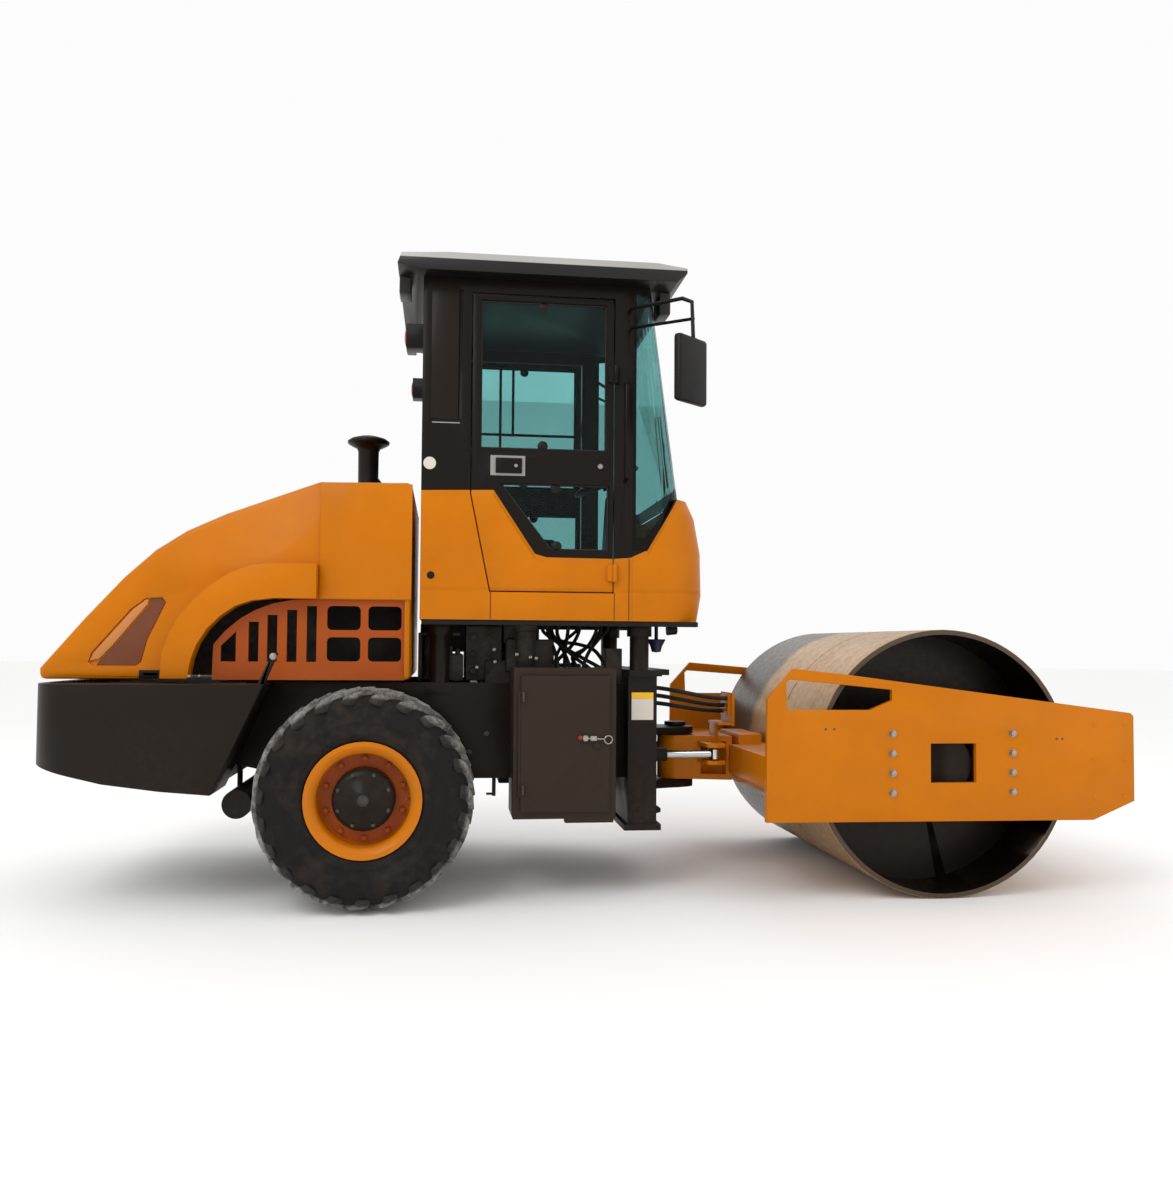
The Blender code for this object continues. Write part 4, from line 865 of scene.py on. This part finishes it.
def makeTyre(side):
    tag = "right" if side < 0 else "left"
    centre = (tyre["centreX"], side * tyre["centreY"], tyre["radius"])
    half = tyre["half"]
    ring = [(r, a) for r, a in half] + [(r, -a) for r, a in reversed(half)]
    ring.append(ring[0])
    carcass = turned("tyre_carcass_" + tag, ring, centre, "Y", 96)
    finished(carcass, tyreFinish, "wheel_" + tag, 60)
    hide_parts("tyre_" + tag)
    lugs = []
    width = tyre["lugWidth"]
    for out in (-1, 1):
        points = [(centre[1] + out * a, centre[2] + r) for a, r in tyre["lug"]]
        lug = outline("lug", points, centre[0] - width / 2, centre[0] + width / 2, "X")
        roundEdges(lug, 0.006, 2, 25)
        middle = (centre[0], centre[1] + out * 0.1, centre[2])
        tilt = Matrix.Translation(middle) @ Matrix.Rotation(
            math.radians(out * tyre["lugTurnDeg"]), 4, "Z"
        ) @ Matrix.Translation([-v for v in middle])
        lug.matrix_world = tilt
        applyPlace(lug)
        for k in range(tyre["lugsPerSide"]):
            angle = 2 * math.pi * (k + (0.5 if out > 0 else 0)) / tyre["lugsPerSide"]
            turn = Matrix.Translation(centre) @ Matrix.Rotation(angle, 4, "Y") @ Matrix.Translation(
                [-v for v in centre]
            )
            lugs.append(copyOf(lug, turn))
        bpy.data.objects.remove(lug, do_unlink=True)
    finished(joined("tyre_tread_" + tag, lugs), lugFinish, "wheel_" + tag, 30)


for side in (-1, 1):
    makeTyre(side)
print("tyres made")

# wheel nuts, hub bolts, valve
wheelTrim = {"nuts": 10, "nutRing": 0.186, "nut": 0.026, "hubBolts": 8, "hubRing": 0.123}


def ringPlaces(centre, radius, count, y):
    return [
        (
            centre[0] + radius * math.cos(2 * math.pi * (k + 0.5) / count),
            y,
            centre[2] + radius * math.sin(2 * math.pi * (k + 0.5) / count),
        )
        for k in range(count)
    ]


def makeWheelTrim(side):
    tag = "right" if side < 0 else "left"
    centre = (tyre["centreX"], side * tyre["centreY"], tyre["radius"])
    way = (0, side, 0)
    nutY = side * (tyre["centreY"] + 0.0595)
    nuts = ringPlaces(centre, wheelTrim["nutRing"], wheelTrim["nuts"], nutY)
    # the nuts sit inside the dish, so they take its painted shade too
    scatter(
        "wheel_nuts_" + tag,
        boltHead(wheelTrim["nut"], 0.024),
        nuts,
        way,
        rimPaintWithDishShade,
        "wheel_" + tag,
    )
    hubY = side * (tyre["centreY"] + 0.154)
    places = ringPlaces(centre, wheelTrim["hubRing"], wheelTrim["hubBolts"], hubY)
    scatter("hub_bolts_" + tag, boltHead(0.016, 0.012), places, way, boltDark, "wheel_" + tag)
    face = side * (tyre["centreY"] + 0.1752)
    plug = [(0, 0.004), (0.018, 0.004), (0.022, 0), (0.026, 0.0), (0.026, -0.004), (0, -0.004)]
    cap = turned("hub_plug_" + tag, [(r, side * a) for r, a in plug], (centre[0], face, centre[2]), "Y", 28)
    finished(cap, boltDark, "wheel_" + tag)
    start = (centre[0] + 0.222, side * (tyre["centreY"] + 0.105), centre[2])
    valve = rod(
        "valve_" + tag, start, (start[0] - 0.030, side * (tyre["centreY"] + 0.128), start[2]), 0.006, 12, 0.004, 0.001
    )
    finished(valve, boltSteel, "wheel_" + tag)


for side in (-1, 1):
    makeWheelTrim(side)

# drum frame fasteners
drumTrim = {"columns": (1.406, 2.028), "rows": (0.532, 0.628, 0.724, 0.820), "bolt": 0.030}
for side in (-1, 1):
    tag = "right" if side < 0 else "left"
    face = side * 0.9252
    places = [(x, face, z) for x in drumTrim["columns"] for z in drumTrim["rows"]]
    scatter(
        "drum_mount_bolts_" + tag,
        boltHead(drumTrim["bolt"], 0.016),
        places,
        (0, side, 0),
        boltSteel,
        bodyOf["drum_plate_" + tag],
    )
    welds = [
        (x, face - side * 0.0018, z)
        for x, z in ((2.465, 0.865), (2.630, 0.865), (2.465, 0.690), (2.630, 0.690), (2.465, 0.500), (2.630, 0.500))
    ]
    scatter(
        "plug_welds_" + tag,
        buttonHead(0.015, 0.006),
        welds,
        (0, side, 0),
        yellowPaint,
        bodyOf["drum_plate_" + tag],
    )
    marks = [(x, face - side * 0.0012, z) for x, z in ((1.067, 0.842), (1.110, 0.842), (2.262, 0.792), (2.292, 0.792))]
    scatter(
        "tapped_holes_" + tag,
        buttonHead(0.007, 0.002),
        marks,
        (0, side, 0),
        boltDark,
        bodyOf["drum_plate_" + tag],
    )
    places = ringPlaces((1.703, 0, 0.666), 0.225, 12, side * 0.5622)
    scatter(
        "vibrator_bolts_" + tag,
        boltHead(0.022, 0.014),
        places,
        (0, side, 0),
        boltDark,
        "drum",
    )
print("wheel and drum fasteners made")

# weld bead round the drum
bead = turned(
    "drum_weld_bead",
    [(0.6655, -0.258), (0.6664, -0.250), (0.6655, -0.242), (0.660, -0.242), (0.660, -0.258), (0.6655, -0.258)],
    (1.703, 0, 0.666),
    "Y",
    96,
)
finished(bead, weldRust, "drum", 60)

# hood: corner lenses, latches, bolts at the flare and the strut
lamp = {
    "lens": [
        (-2.425, 1.150), (-2.408, 1.188), (-2.236, 1.394), (-2.176, 1.441), (-2.163, 1.443), (-2.168, 1.420),
        (-2.319, 1.228), (-2.381, 1.158),
    ],
    "well": [
        (-2.378, 1.152), (-2.314, 1.225), (-2.163, 1.416), (-2.157, 1.446), (-2.106, 1.449), (-2.089, 1.429),
        (-2.169, 1.253), (-2.196, 1.147), (-2.219, 1.130), (-2.396, 1.130),
    ],
}
for side in (-1, 1):
    tag = "right" if side < 0 else "left"
    low, high = sorted((side * 0.6455, side * 0.6565))
    lens = outline("corner_lens_" + tag, lamp["lens"], low, high)
    roundEdges(lens, 0.003, 2)
    finished(lens, amberLens, bodyOf["hood_shell"])
    low, high = sorted((side * 0.6455, side * 0.6485))
    well = outline("corner_lens_dark_" + tag, lamp["well"], low, high)
    roundEdges(well, 0.001, 1)
    finished(well, darkLens, bodyOf["hood_shell"])
    low, high = sorted((side * 0.6605, side * 0.674))
    latch = block("hood_latch_" + tag, (-2.197, low, 1.070), (-2.093, high, 1.108), 0.004)
    lever = block("lever", (-2.180, low, 1.080), (-2.110, high + (0.006 if side > 0 else 0), 1.098), 0.003)
    finished(joined("hood_latch_" + tag, [latch, lever]), blackPlastic, bodyOf["hood_shell"])
    scatter(
        "flare_bolts_" + tag,
        buttonHead(0.009, 0.007),
        [(-1.955, side * 0.7352, 1.080), (-1.925, side * 0.668, 1.080)],
        (0, side, 0),
        boltSteel,
        bodyOf["hood_shell"],
    )
    scatter(
        "strut_bolt_" + tag,
        boltHead(0.026, 0.014),
        [(-1.556, side * 0.8452, 1.178)],
        (0, side, 0),
        boltSteel,
        bodyOf["counterweight"],
    )
print("hood trim made")

# battery box door: lock, key ring and hinge pins; post plate
doorBody = bodyOf["battery_box_door"]
lock = turned(
    "lock", [(0, -0.010), (0.013, -0.010), (0.016, -0.006), (0.016, 0.0), (0, 0)], (-0.098, -0.8585, 0.797), "Y", 24
)
finished(lock, boltSteel, doorBody)
lock.name = "battery_door_lock"
deselectAll()
bpy.ops.mesh.primitive_torus_add(
    major_segments=36,
    minor_segments=10,
    major_radius=0.019,
    minor_radius=0.003,
    location=(0.012, -0.8625, 0.790),
    rotation=(math.radians(90), 0, 0),
)
ring = bpy.context.object
links = [ring, rod("pin", (-0.085, -0.866, 0.797), (-0.006, -0.864, 0.793), 0.0035, 12)]
links.append(block("key", (-0.075, -0.869, 0.786), (-0.045, -0.866, 0.808), 0.001))
finished(joined("battery_door_key", links), boltSteel, doorBody)
knob = turned(
    "battery_door_red_button",
    [(0, -0.012), (0.008, -0.012), (0.011, -0.008), (0.011, 0), (0, 0)],
    (-0.124, -0.8585, 0.800),
    "Y",
    20,
)
finished(knob, redPlastic, doorBody)
hinges = [
    rod("hinge", (-0.395, -0.8585, z), (-0.395, -0.8585, z + 0.045), 0.006, 12, None, 0.001)
    for z in (0.970, 0.530)
]
finished(joined("battery_door_hinges", hinges), boltDark, doorBody)
for side in (-1, 1):
    tag = "right" if side < 0 else "left"
    low, high = sorted((side * 0.6006, side * 0.6022))
    plate = block("blank_plate_" + tag, (0.170, low, 0.866), (0.282, high, 0.972), 0.0004, 1)
    finished(plate, plateFoil, bodyOf["hitch_post"])
    band = block("plate_band_" + tag, (0.170, low, 0.9725), (0.282, high, 1.004), 0.0004, 1)
    finished(band, bandYellow, bodyOf["hitch_post"])
print("box trim made")

# what shows between the cab and the frame: hydraulic unit, filter, pipes
under = {"unitLow": (-0.660, -0.290, 1.052), "unitHigh": (-0.470, 0.290, 1.338)}


def makeUnderCab():
    parts = [block("unit", under["unitLow"], under["unitHigh"], 0.008)]
    parts.append(block("valve_bank", (-0.800, -0.330, 1.052), (-0.672, 0.200, 1.190), 0.006))
    parts.append(block("bracket", (-0.905, -0.360, 1.052), (-0.885, 0.330, 1.300), 0.003))
    parts.append(block("shelf", (-0.885, -0.360, 1.286), (-0.690, -0.250, 1.300), 0.003))
    for x, z in ((-0.780, 1.190), (-0.740, 1.190), (-0.700, 1.190)):
        for y in (-0.29, -0.20, -0.11):
            parts.append(
                rod("spool", (x, y, z - 0.01), (x, y, z + 0.030 + 0.01 * math.sin(40 * x)), 0.013, 14, None, 0.002)
            )
    for z in (1.10, 1.19, 1.28):
        parts.append(rod("port", (-0.62, -0.285, z), (-0.62, -0.315, z), 0.016, 16, None, 0.002))
        parts.append(rod("port", (-0.54, -0.285, z), (-0.54, -0.310, z), 0.012, 6, None, 0.001))
    finished(joined("hydraulic_unit", parts), ironFinish, "rear_frame")
    can = turned(
        "oil_filter",
        [
            (0, 0.230), (0.030, 0.230), (0.052, 0.224), (0.060, 0.212), (0.060, 0.196), (0.052, 0.190), (0.052, 0.050),
            (0.046, 0.020), (0.024, 0.0), (0, 0),
        ],
        (-0.352, -0.375, 1.118),
        "Z",
        32,
    )
    finished(can, ironFinish, "rear_frame", 40)
    cap = turned(
        "oil_filter_cap",
        [(0, 0.012), (0.050, 0.012), (0.062, 0.006), (0.062, -0.012), (0.0605, -0.012), (0.0605, 0.0), (0, 0)],
        (-0.352, -0.375, 1.334),
        "Z",
        32,
    )
    finished(cap, rustyBrown, "rear_frame", 40)
    arm = block("filter_bracket", (-0.420, -0.340, 1.200), (-0.300, -0.300, 1.230), 0.004)
    leg = block("leg", (-0.372, -0.330, 1.052), (-0.332, -0.300, 1.215), 0.003)
    finished(joined("filter_bracket", [arm, leg]), blackPaint, "rear_frame")
    fittings = []
    for x, y, z in (
        (-0.400, -0.43, 1.19), (-0.330, -0.437, 1.175), (-0.300, -0.437, 1.170), (-0.510, -0.300, 1.215),
        (-0.505, -0.302, 1.150), (-0.600, -0.302, 1.120),
    ):
        fittings.append(rod("nut", (x, y + 0.02, z), (x, y, z), 0.010, 6, None, 0.001))
    skirt = [
        block("skirt", (-0.885, side * 0.628 - 0.024, 1.336), (0.500, side * 0.628 + 0.024, 1.3612), 0.003)
        for side in (-1, 1)
    ]
    finished(joined("cab_floor_rubber", skirt), blackPlastic, "rear_frame")
    cooler = [
        block("cooler", (-0.900, -0.100, 1.200), (-0.285, 0.250, 1.352), 0.008),
        block("frame", (-0.460, -0.260, 1.250), (-0.270, 0.100, 1.345), 0.006),
    ]
    cooler += [
        rod("dryer", (-0.855, -0.215, 1.052), (-0.855, -0.215, 1.335), 0.034, 24, None, 0.006),
        block("relay_box", (0.062, -0.440, 1.052), (0.148, -0.340, 1.225), 0.006),
    ]
    cooler += [
        rod("stub", (-0.245 + 0.09 * k, -0.20, 1.340), (-0.245 + 0.09 * k, -0.20, 1.3612), 0.014, 6, None, 0.001)
        for k in range(4)
    ]
    finished(joined("cooler_and_dryer", cooler), ironFinish, "rear_frame")
    horn = turned(
        "horn",
        [(0, 0.0), (0.024, 0.004), (0.030, 0.030), (0.046, 0.062), (0.050, 0.066), (0.046, 0.070), (0, 0.055)],
        (0.332, -0.420, 1.205),
        "Z",
        28,
    )
    finished(horn, blueShell, "rear_frame")
    hanger = [
        rod("hanger", (0.332, -0.420, 1.255), (0.332, -0.420, 1.3612), 0.010, 12),
        rod("lump", (0.385, -0.430, 1.325), (0.440, -0.430, 1.325), 0.030, 20, 0.024, 0.004),
    ]
    finished(joined("horn_bracket", hanger), blackPlastic, "rear_frame")
    finished(joined("pipe_unions", fittings), boltSteel, "rear_frame")


makeUnderCab()
print("hydraulic unit made")

# hoses: each is a round tube along its own path
hose = {
    "steering": 0.012,
    "hydraulic": 0.0100,
    "levels": ((1.015, 0.955), (0.972, 0.915), (0.928, 0.880)),
    "y": (-0.190, -0.135, -0.080),
    "startX": 0.3175,
    "endX": 0.7745,
    "bow": 0.05,
}


def rubberTube(name, path, radius):
    tube = pipe(name, path, radius, 3, 3, True)
    tube.data.materials.clear()
    tube.data.materials.append(hoseRubber)
    smooth(tube, 60)
    return tube


def steeringPath(i):
    path = []
    startZ, endZ = hose["levels"][i]
    for j in range(25):
        t = j / 24
        ease = t * t * (3 - 2 * t)
        away = math.sin(math.pi * t) ** 2
        path.append(
            Vector(
                (
                    hose["startX"] + (hose["endX"] - hose["startX"]) * t,
                    hose["y"][i] - hose["bow"] * away,
                    startZ + (endZ - startZ) * ease,
                )
            )
        )
    return path


for i in range(3):
    path = steeringPath(i)
    node = "steering_hose_%d" % (i + 1)
    tube = rubberTube(node + "_rubber", path, hose["steering"])
    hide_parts(node)
    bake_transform(tube)

# each runs from the cab floor's underside to the top of a frame rail
looms = {
    "a": (
        (-0.230, -0.300, 1.361), (-0.226, -0.305, 1.300), (-0.196, -0.380, 1.200), (-0.186, -0.450, 1.120),
        (-0.185, -0.475, 1.062),
    ),
    "b": (
        (-0.200, -0.220, 1.361), (-0.195, -0.225, 1.300), (-0.150, -0.300, 1.220), (-0.125, -0.430, 1.130),
        (-0.120, -0.475, 1.062),
    ),
    "c": (
        (-0.215, -0.100, 1.361), (-0.200, -0.105, 1.310), (-0.130, -0.140, 1.260), (-0.050, -0.200, 1.245),
        (0.020, -0.300, 1.215), (0.055, -0.430, 1.140), (0.060, -0.475, 1.062),
    ),
    "d": (
        (0.020, 0.250, 1.361), (-0.010, 0.255, 1.320), (-0.070, 0.320, 1.260), (-0.100, 0.400, 1.190),
        (-0.110, 0.460, 1.120), (-0.112, 0.475, 1.062),
    ),
    "e": (
        (0.100, -0.270, 1.361), (0.090, -0.275, 1.320), (0.040, -0.310, 1.270), (-0.020, -0.370, 1.200),
        (-0.060, -0.450, 1.120), (-0.066, -0.475, 1.062),
    ),
    "f": (
        (0.130, 0.200, 1.361), (0.120, 0.205, 1.310), (0.070, 0.270, 1.240), (0.020, 0.370, 1.180),
        (-0.010, 0.450, 1.120), (-0.015, 0.475, 1.062),
    ),
    "h": (
        (-0.110, -0.230, 1.361), (-0.115, -0.235, 1.300), (-0.135, -0.290, 1.210), (-0.150, -0.420, 1.130),
        (-0.155, -0.475, 1.062),
    ),
    "i": (
        (-0.040, -0.150, 1.361), (-0.045, -0.160, 1.310), (-0.090, -0.230, 1.240), (-0.150, -0.340, 1.190),
        (-0.215, -0.440, 1.130), (-0.225, -0.475, 1.062),
    ),
    "j": (
        (0.060, -0.100, 1.361), (0.055, -0.110, 1.310), (0.000, -0.160, 1.230), (-0.090, -0.260, 1.180),
        (-0.085, -0.430, 1.120), (-0.090, -0.475, 1.062),
    ),
    "k": (
        (-0.250, -0.240, 1.361), (-0.245, -0.245, 1.310), (-0.170, -0.290, 1.250), (-0.080, -0.340, 1.170),
        (-0.010, -0.430, 1.110), (-0.005, -0.475, 1.062),
    ),
    "g": (
        (-0.160, -0.180, 1.361), (-0.165, -0.185, 1.300), (-0.130, -0.240, 1.230), (-0.040, -0.330, 1.170),
        (0.040, -0.430, 1.120), (0.105, -0.478, 1.066),
    ),
}
for key, knots in looms.items():
    path = smoothPath(knots)
    tube = rubberTube("hydraulic_hose_" + key, path, hose["hydraulic"])
    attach(tube, "rear_frame")
print("hoses made")

# seat
seat = {"low": (-0.645, -0.240, 1.708), "high": (-0.172, 0.240, 1.806), "crown": 0.016}


def crowned(obj, low, high, amount, axis=2):
    # raises the middle of the cushion's face above its seams
    spanA, spanB = [i for i in range(3) if i != axis]
    for vert in obj.data.vertices:
        a = (vert.co[spanA] - low[spanA]) / (high[spanA] - low[spanA]) * 2 - 1
        b = (vert.co[spanB] - low[spanB]) / (high[spanB] - low[spanB]) * 2 - 1
        up = (vert.co[axis] - low[axis]) / (high[axis] - low[axis])
        full = max(0.0, (1 - a**4) * (1 - b**4))
        channel = 0.006 * max(0.0, 1 - abs(abs(b) - 0.42) / 0.07)
        vert.co[axis] += up * (amount * full - channel)


def makeSeat():
    base = block("seat_cushion", seat["low"], seat["high"], 0.030, 4)
    editAll(base, lambda: bpy.ops.mesh.subdivide(number_cuts=6))
    crowned(base, seat["low"], seat["high"], seat["crown"])
    makeActive(base)
    swell = base.modifiers.new("swell", "SUBSURF")
    swell.levels = swell.render_levels = 1
    bpy.ops.object.modifier_apply(modifier=swell.name)
    low, high = (-0.060, -0.225, 0.0), (0.030, 0.225, 0.500)
    back = block("seat_back", low, high, 0.028, 4)
    editAll(back, lambda: bpy.ops.mesh.subdivide(number_cuts=6))
    crowned(back, low, high, seat["crown"], 0)
    makeActive(back)
    swell = back.modifiers.new("swell", "SUBSURF")
    swell.levels = swell.render_levels = 1
    bpy.ops.object.modifier_apply(modifier=swell.name)
    back.matrix_world = Matrix.Translation((-0.588, 0, 1.815)) @ Matrix.Rotation(math.radians(-9.5), 4, "Y")
    for pad in (base, back):
        finished(pad, seatVinyl, bodyOf["seat"], 60)
    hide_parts("seat")
    shell = block("seat_pan", (-0.655, -0.235, 1.7032), (-0.165, 0.235, 1.7075), 0.0015, 1)
    finished(shell, blackPlastic, bodyOf["seat"])


makeSeat()
print("seat made")

# cab trim
cab = {
    "seams": (
        ((-0.551, 1.3655), (-0.547, 1.5035)), ((0.0665, 1.3655), (0.0705, 1.5035)), ((0.141, 1.3655), (0.145, 1.675))
    ),
    "knobs": ((-0.296, 2.936), (-0.296, 2.233), (-0.230, 2.024), (-0.222, 1.732)),
}


def makeCabTrim(side):
    tag = "right" if side < 0 else "left"
    body, slot = bodyOf["cab_side_" + tag], slotOf["cab_side_" + tag]
    low, high = sorted((side * 0.6585, side * 0.6606))
    seams = [block("seam", (a[0], low, a[1]), (b[0], high, b[1]), 0.0004, 1) for a, b in cab["seams"]]
    finished(joined("cab_seams_" + tag, seams), seamDark, body)
    low, high = sorted((side * 0.6585, side * 0.6620))
    inset = block("cab_panel_" + tag, (-0.852, low, 2.350), (-0.718, high, 3.020), 0.0014, 2)
    finished(inset, blackPaint, body)
    strip = block("cab_strip_" + tag, (-0.845, low, 2.330), (-0.709, high, 2.336), 0.0012, 1)
    finished(strip, greyPlastic, body)
    disc = turned(
        "blank_disc_" + tag,
        [(0, side * 0.0012), (0.030, side * 0.0012), (0.031, 0), (0, 0)],
        (-0.854, side * 0.6603, 2.130),
        "Y",
        36,
    )
    finished(disc, plateFoil, body)
    plug = turned(
        "cab_plug_" + tag,
        [(0, side * 0.006), (0.014, side * 0.005), (0.019, 0.0), (0.019, -side * 0.002), (0, -side * 0.002)],
        (-0.842, side * 0.6602, 1.578),
        "Y",
        24,
    )
    finished(plug, blackPlastic, body)
    door = bodyOf["door_" + tag]
    low, high = sorted((side * 0.6606, side * 0.6622))
    surround = block("door_handle_surround_" + tag, (-0.556, low, 2.078), (-0.384, high, 2.178), 0.0007, 1)
    finished(surround, greyPlastic, door)
    key = turned(
        "door_lock_" + tag,
        [(0, side * 0.003), (0.008, side * 0.003), (0.010, 0), (0, 0)],
        (-0.430, side * 0.6722, 2.127),
        "Y",
        20,
    )
    finished(key, boltSteel, door)
    latch = turned(
        "door_latch_" + tag,
        [(0, side * 0.008), (0.010, side * 0.008), (0.014, side * 0.004), (0.014, 0), (0, 0)],
        (-0.006, side * 0.6605, 2.136),
        "Y",
        20,
    )
    finished(latch, boltSteel, door)
    scatter(
        "glass_clamps_" + tag,
        buttonHead(0.026, 0.012),
        [(x, side * 0.6403, z) for x, z in cab["knobs"]],
        (0, side, 0),
        blackPlastic,
        door,
    )
    # bars across the window, just inside the door's glass
    bars = [
        rod("bar", (x, side * 0.622, low), (x, side * 0.622, 2.948), 0.0085, 10)
        for x, low in ((-0.444, 2.222), (-0.366, 2.530))
    ] if side > 0 else []
    if bars:
        bars.append(rod("bar", (-0.600, side * 0.622, 2.539), (0.018, side * 0.622, 2.539), 0.0085, 10))
        finished(joined("window_bars_" + tag, bars), blackPaint, door)
    # window rubbers
    for name, points in (
        ("upper", [(-0.608, 2.213), (0.024, 2.213), (0.024, 2.956), (-0.608, 2.956)]),
        ("lower", [(-0.505, 2.040), (-0.256, 1.712), (0.038, 1.712), (0.038, 2.040)]),
    ):
        y = side * 0.6425
        ring = [Vector((x, y, z)) for x, z in points]
        middle = sum(ring, Vector()) / 4
        strips = []
        for a, b in zip(ring, ring[1:] + ring[:1]):
            inA, inB = a + (middle - a).normalized() * 0.004, b + (middle - b).normalized() * 0.004
            strips.append(rod("strip", inA, inB, 0.0055, 8))
        finished(joined("%s_window_rubber_%s" % (name, tag), strips), rubberSeal, door)


for side in (-1, 1):
    makeCabTrim(side)

# the engine's air pre-cleaner: a mushroom cap on a moulded neck, with its outlet elbow
cleaner = turned(
    "pre_cleaner_cap",
    [
        (0, 2.4195), (0.050, 2.4175), (0.098, 2.403), (0.117, 2.389), (0.1178, 2.382), (0.114, 2.374), (0.098, 2.364),
        (0.066, 2.348), (0.058, 2.330), (0.056, 2.060), (0.061, 2.044), (0.062, 2.0325), (0, 2.0325),
    ],
    (-1.212, 0.2, 0),
    "Z",
    48,
)
elbow = pipe(
    "elbow", [(-1.200, 0.2, 2.175), (-1.165, 0.2, 2.150), (-1.148, 0.2, 2.090), (-1.140, 0.2, 2.034)], 0.034, 4, 3
)
finished(
    joined("pre_cleaner_moulding", [cleaner, elbow]),
    blackPlastic,
    bodyOf["air_pre_cleaner"],
    50,
)
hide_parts("air_pre_cleaner")
lining = [block("lining", (-1.360, y - 0.006, 1.075), (-0.966, y + 0.006, 1.440), 0.003) for y in (-0.405, 0.405)]
finished(joined("hood_lining", lining), seamBlack, bodyOf["hood_shell"])

# wiper on the windscreen
arm = pipe(
    "wiper_arm", [(0.452, -0.06, 1.975), (0.445, -0.10, 2.03), (0.420, -0.20, 2.20), (0.400, -0.27, 2.34)], 0.006, 3, 3
)
pivot = rod("wiper_pivot", (0.425, -0.06, 1.972), (0.462, -0.06, 1.978), 0.014, 20, None, 0.002)
blade = rod("wiper_blade", (0.4285, -0.245, 2.10), (0.372, -0.285, 2.48), 0.0075, 8)
finished(joined("windscreen_wiper", [arm, pivot, blade]), blackPlastic, bodyOf["windscreen"], 50)

# lamps on the roof and behind the cab
for side in (-1, 1):
    tag = "right" if side < 0 else "left"
    body, slot = bodyOf["cab_roof"], slotOf["cab_roof"]
    lens = block(
        "work_light_lens_" + tag, (0.3655, side * 0.50 - 0.070, 2.960), (0.3695, side * 0.50 + 0.070, 3.045), 0.0015, 2
    )
    finished(lens, clearLens, body)
    lens = block(
        "rear_work_light_lens_" + tag,
        (-1.0185, side * 0.50 - 0.070, 3.008),
        (-1.0153, side * 0.50 + 0.070, 3.078),
        0.001,
        2,
    )
    finished(lens, clearLens, body)
    body, slot = bodyOf["cab_rear_panel"], slotOf["cab_rear_panel"]
    tail = turned(
        "tail_lamp_" + tag, [(0, 0.010), (0.030, 0.008), (0.042, 0.003), (0.042, 0), (0, 0)], (0, 0, 0), "Z", 32
    )
    tail.matrix_world = Matrix.Translation((-0.9795, side * 0.54, 2.78)) @ Matrix.Rotation(math.radians(-90), 4, "Y")
    editAll(tail, lambda: bpy.ops.mesh.normals_make_consistent(inside=False))
    finished(tail, redLens, body)
    turn = Matrix.Translation((0.375, side * 1.0, 2.55)) @ Matrix.Rotation(math.radians(50 * side), 4, "Z")
    glass = block("mirror_glass_" + tag, (-0.0245, -0.098, -0.148), (-0.0222, 0.098, 0.148), 0.0008, 1)
    glass.matrix_world = turn
    finished(glass, mirrorGlass, bodyOf["mirror_" + tag])
print("cab trim made")

# fittings at the yoke and the steering cylinders
for side in (-1, 1):
    tag = "right" if side < 0 else "left"
    y = side * 0.293
    ports = [rod("port", (x, y, 0.694), (x, y, 0.716), 0.012, 6, None, 0.001) for x in (-0.040, 0.340)]
    body = bodyOf["steering_barrel_" + tag]
    finished(joined("cylinder_ports_" + tag, ports), boltSteel, body)

# frame rail bolts, filler caps, drain tap
scatter(
    "frame_bolts_right",
    boltHead(0.022, 0.012),
    [(-0.555, -0.5052, 0.792), (-0.640, -0.5052, 0.700)],
    (0, -1, 0),
    boltDark,
    "rear_frame",
)
cap = turned(
    "oil_tank_cap",
    [(0, 0.028), (0.034, 0.028), (0.040, 0.022), (0.040, 0.004), (0.046, 0.0), (0, 0)],
    (-0.19, 0.66, 1.128),
    "Z",
    32,
)
finished(cap, blackPlastic, bodyOf["oil_tank"])
tap = rod("tap", (-0.505, -0.300, 0.575), (-0.505, -0.300, 0.450), 0.010, 16, None, 0.002)
lever = block("lever", (-0.545, -0.306, 0.455), (-0.500, -0.294, 0.467), 0.003)
finished(joined("drain_tap", [tap, lever]), boltDark, "rear_frame")
print("small fittings made")
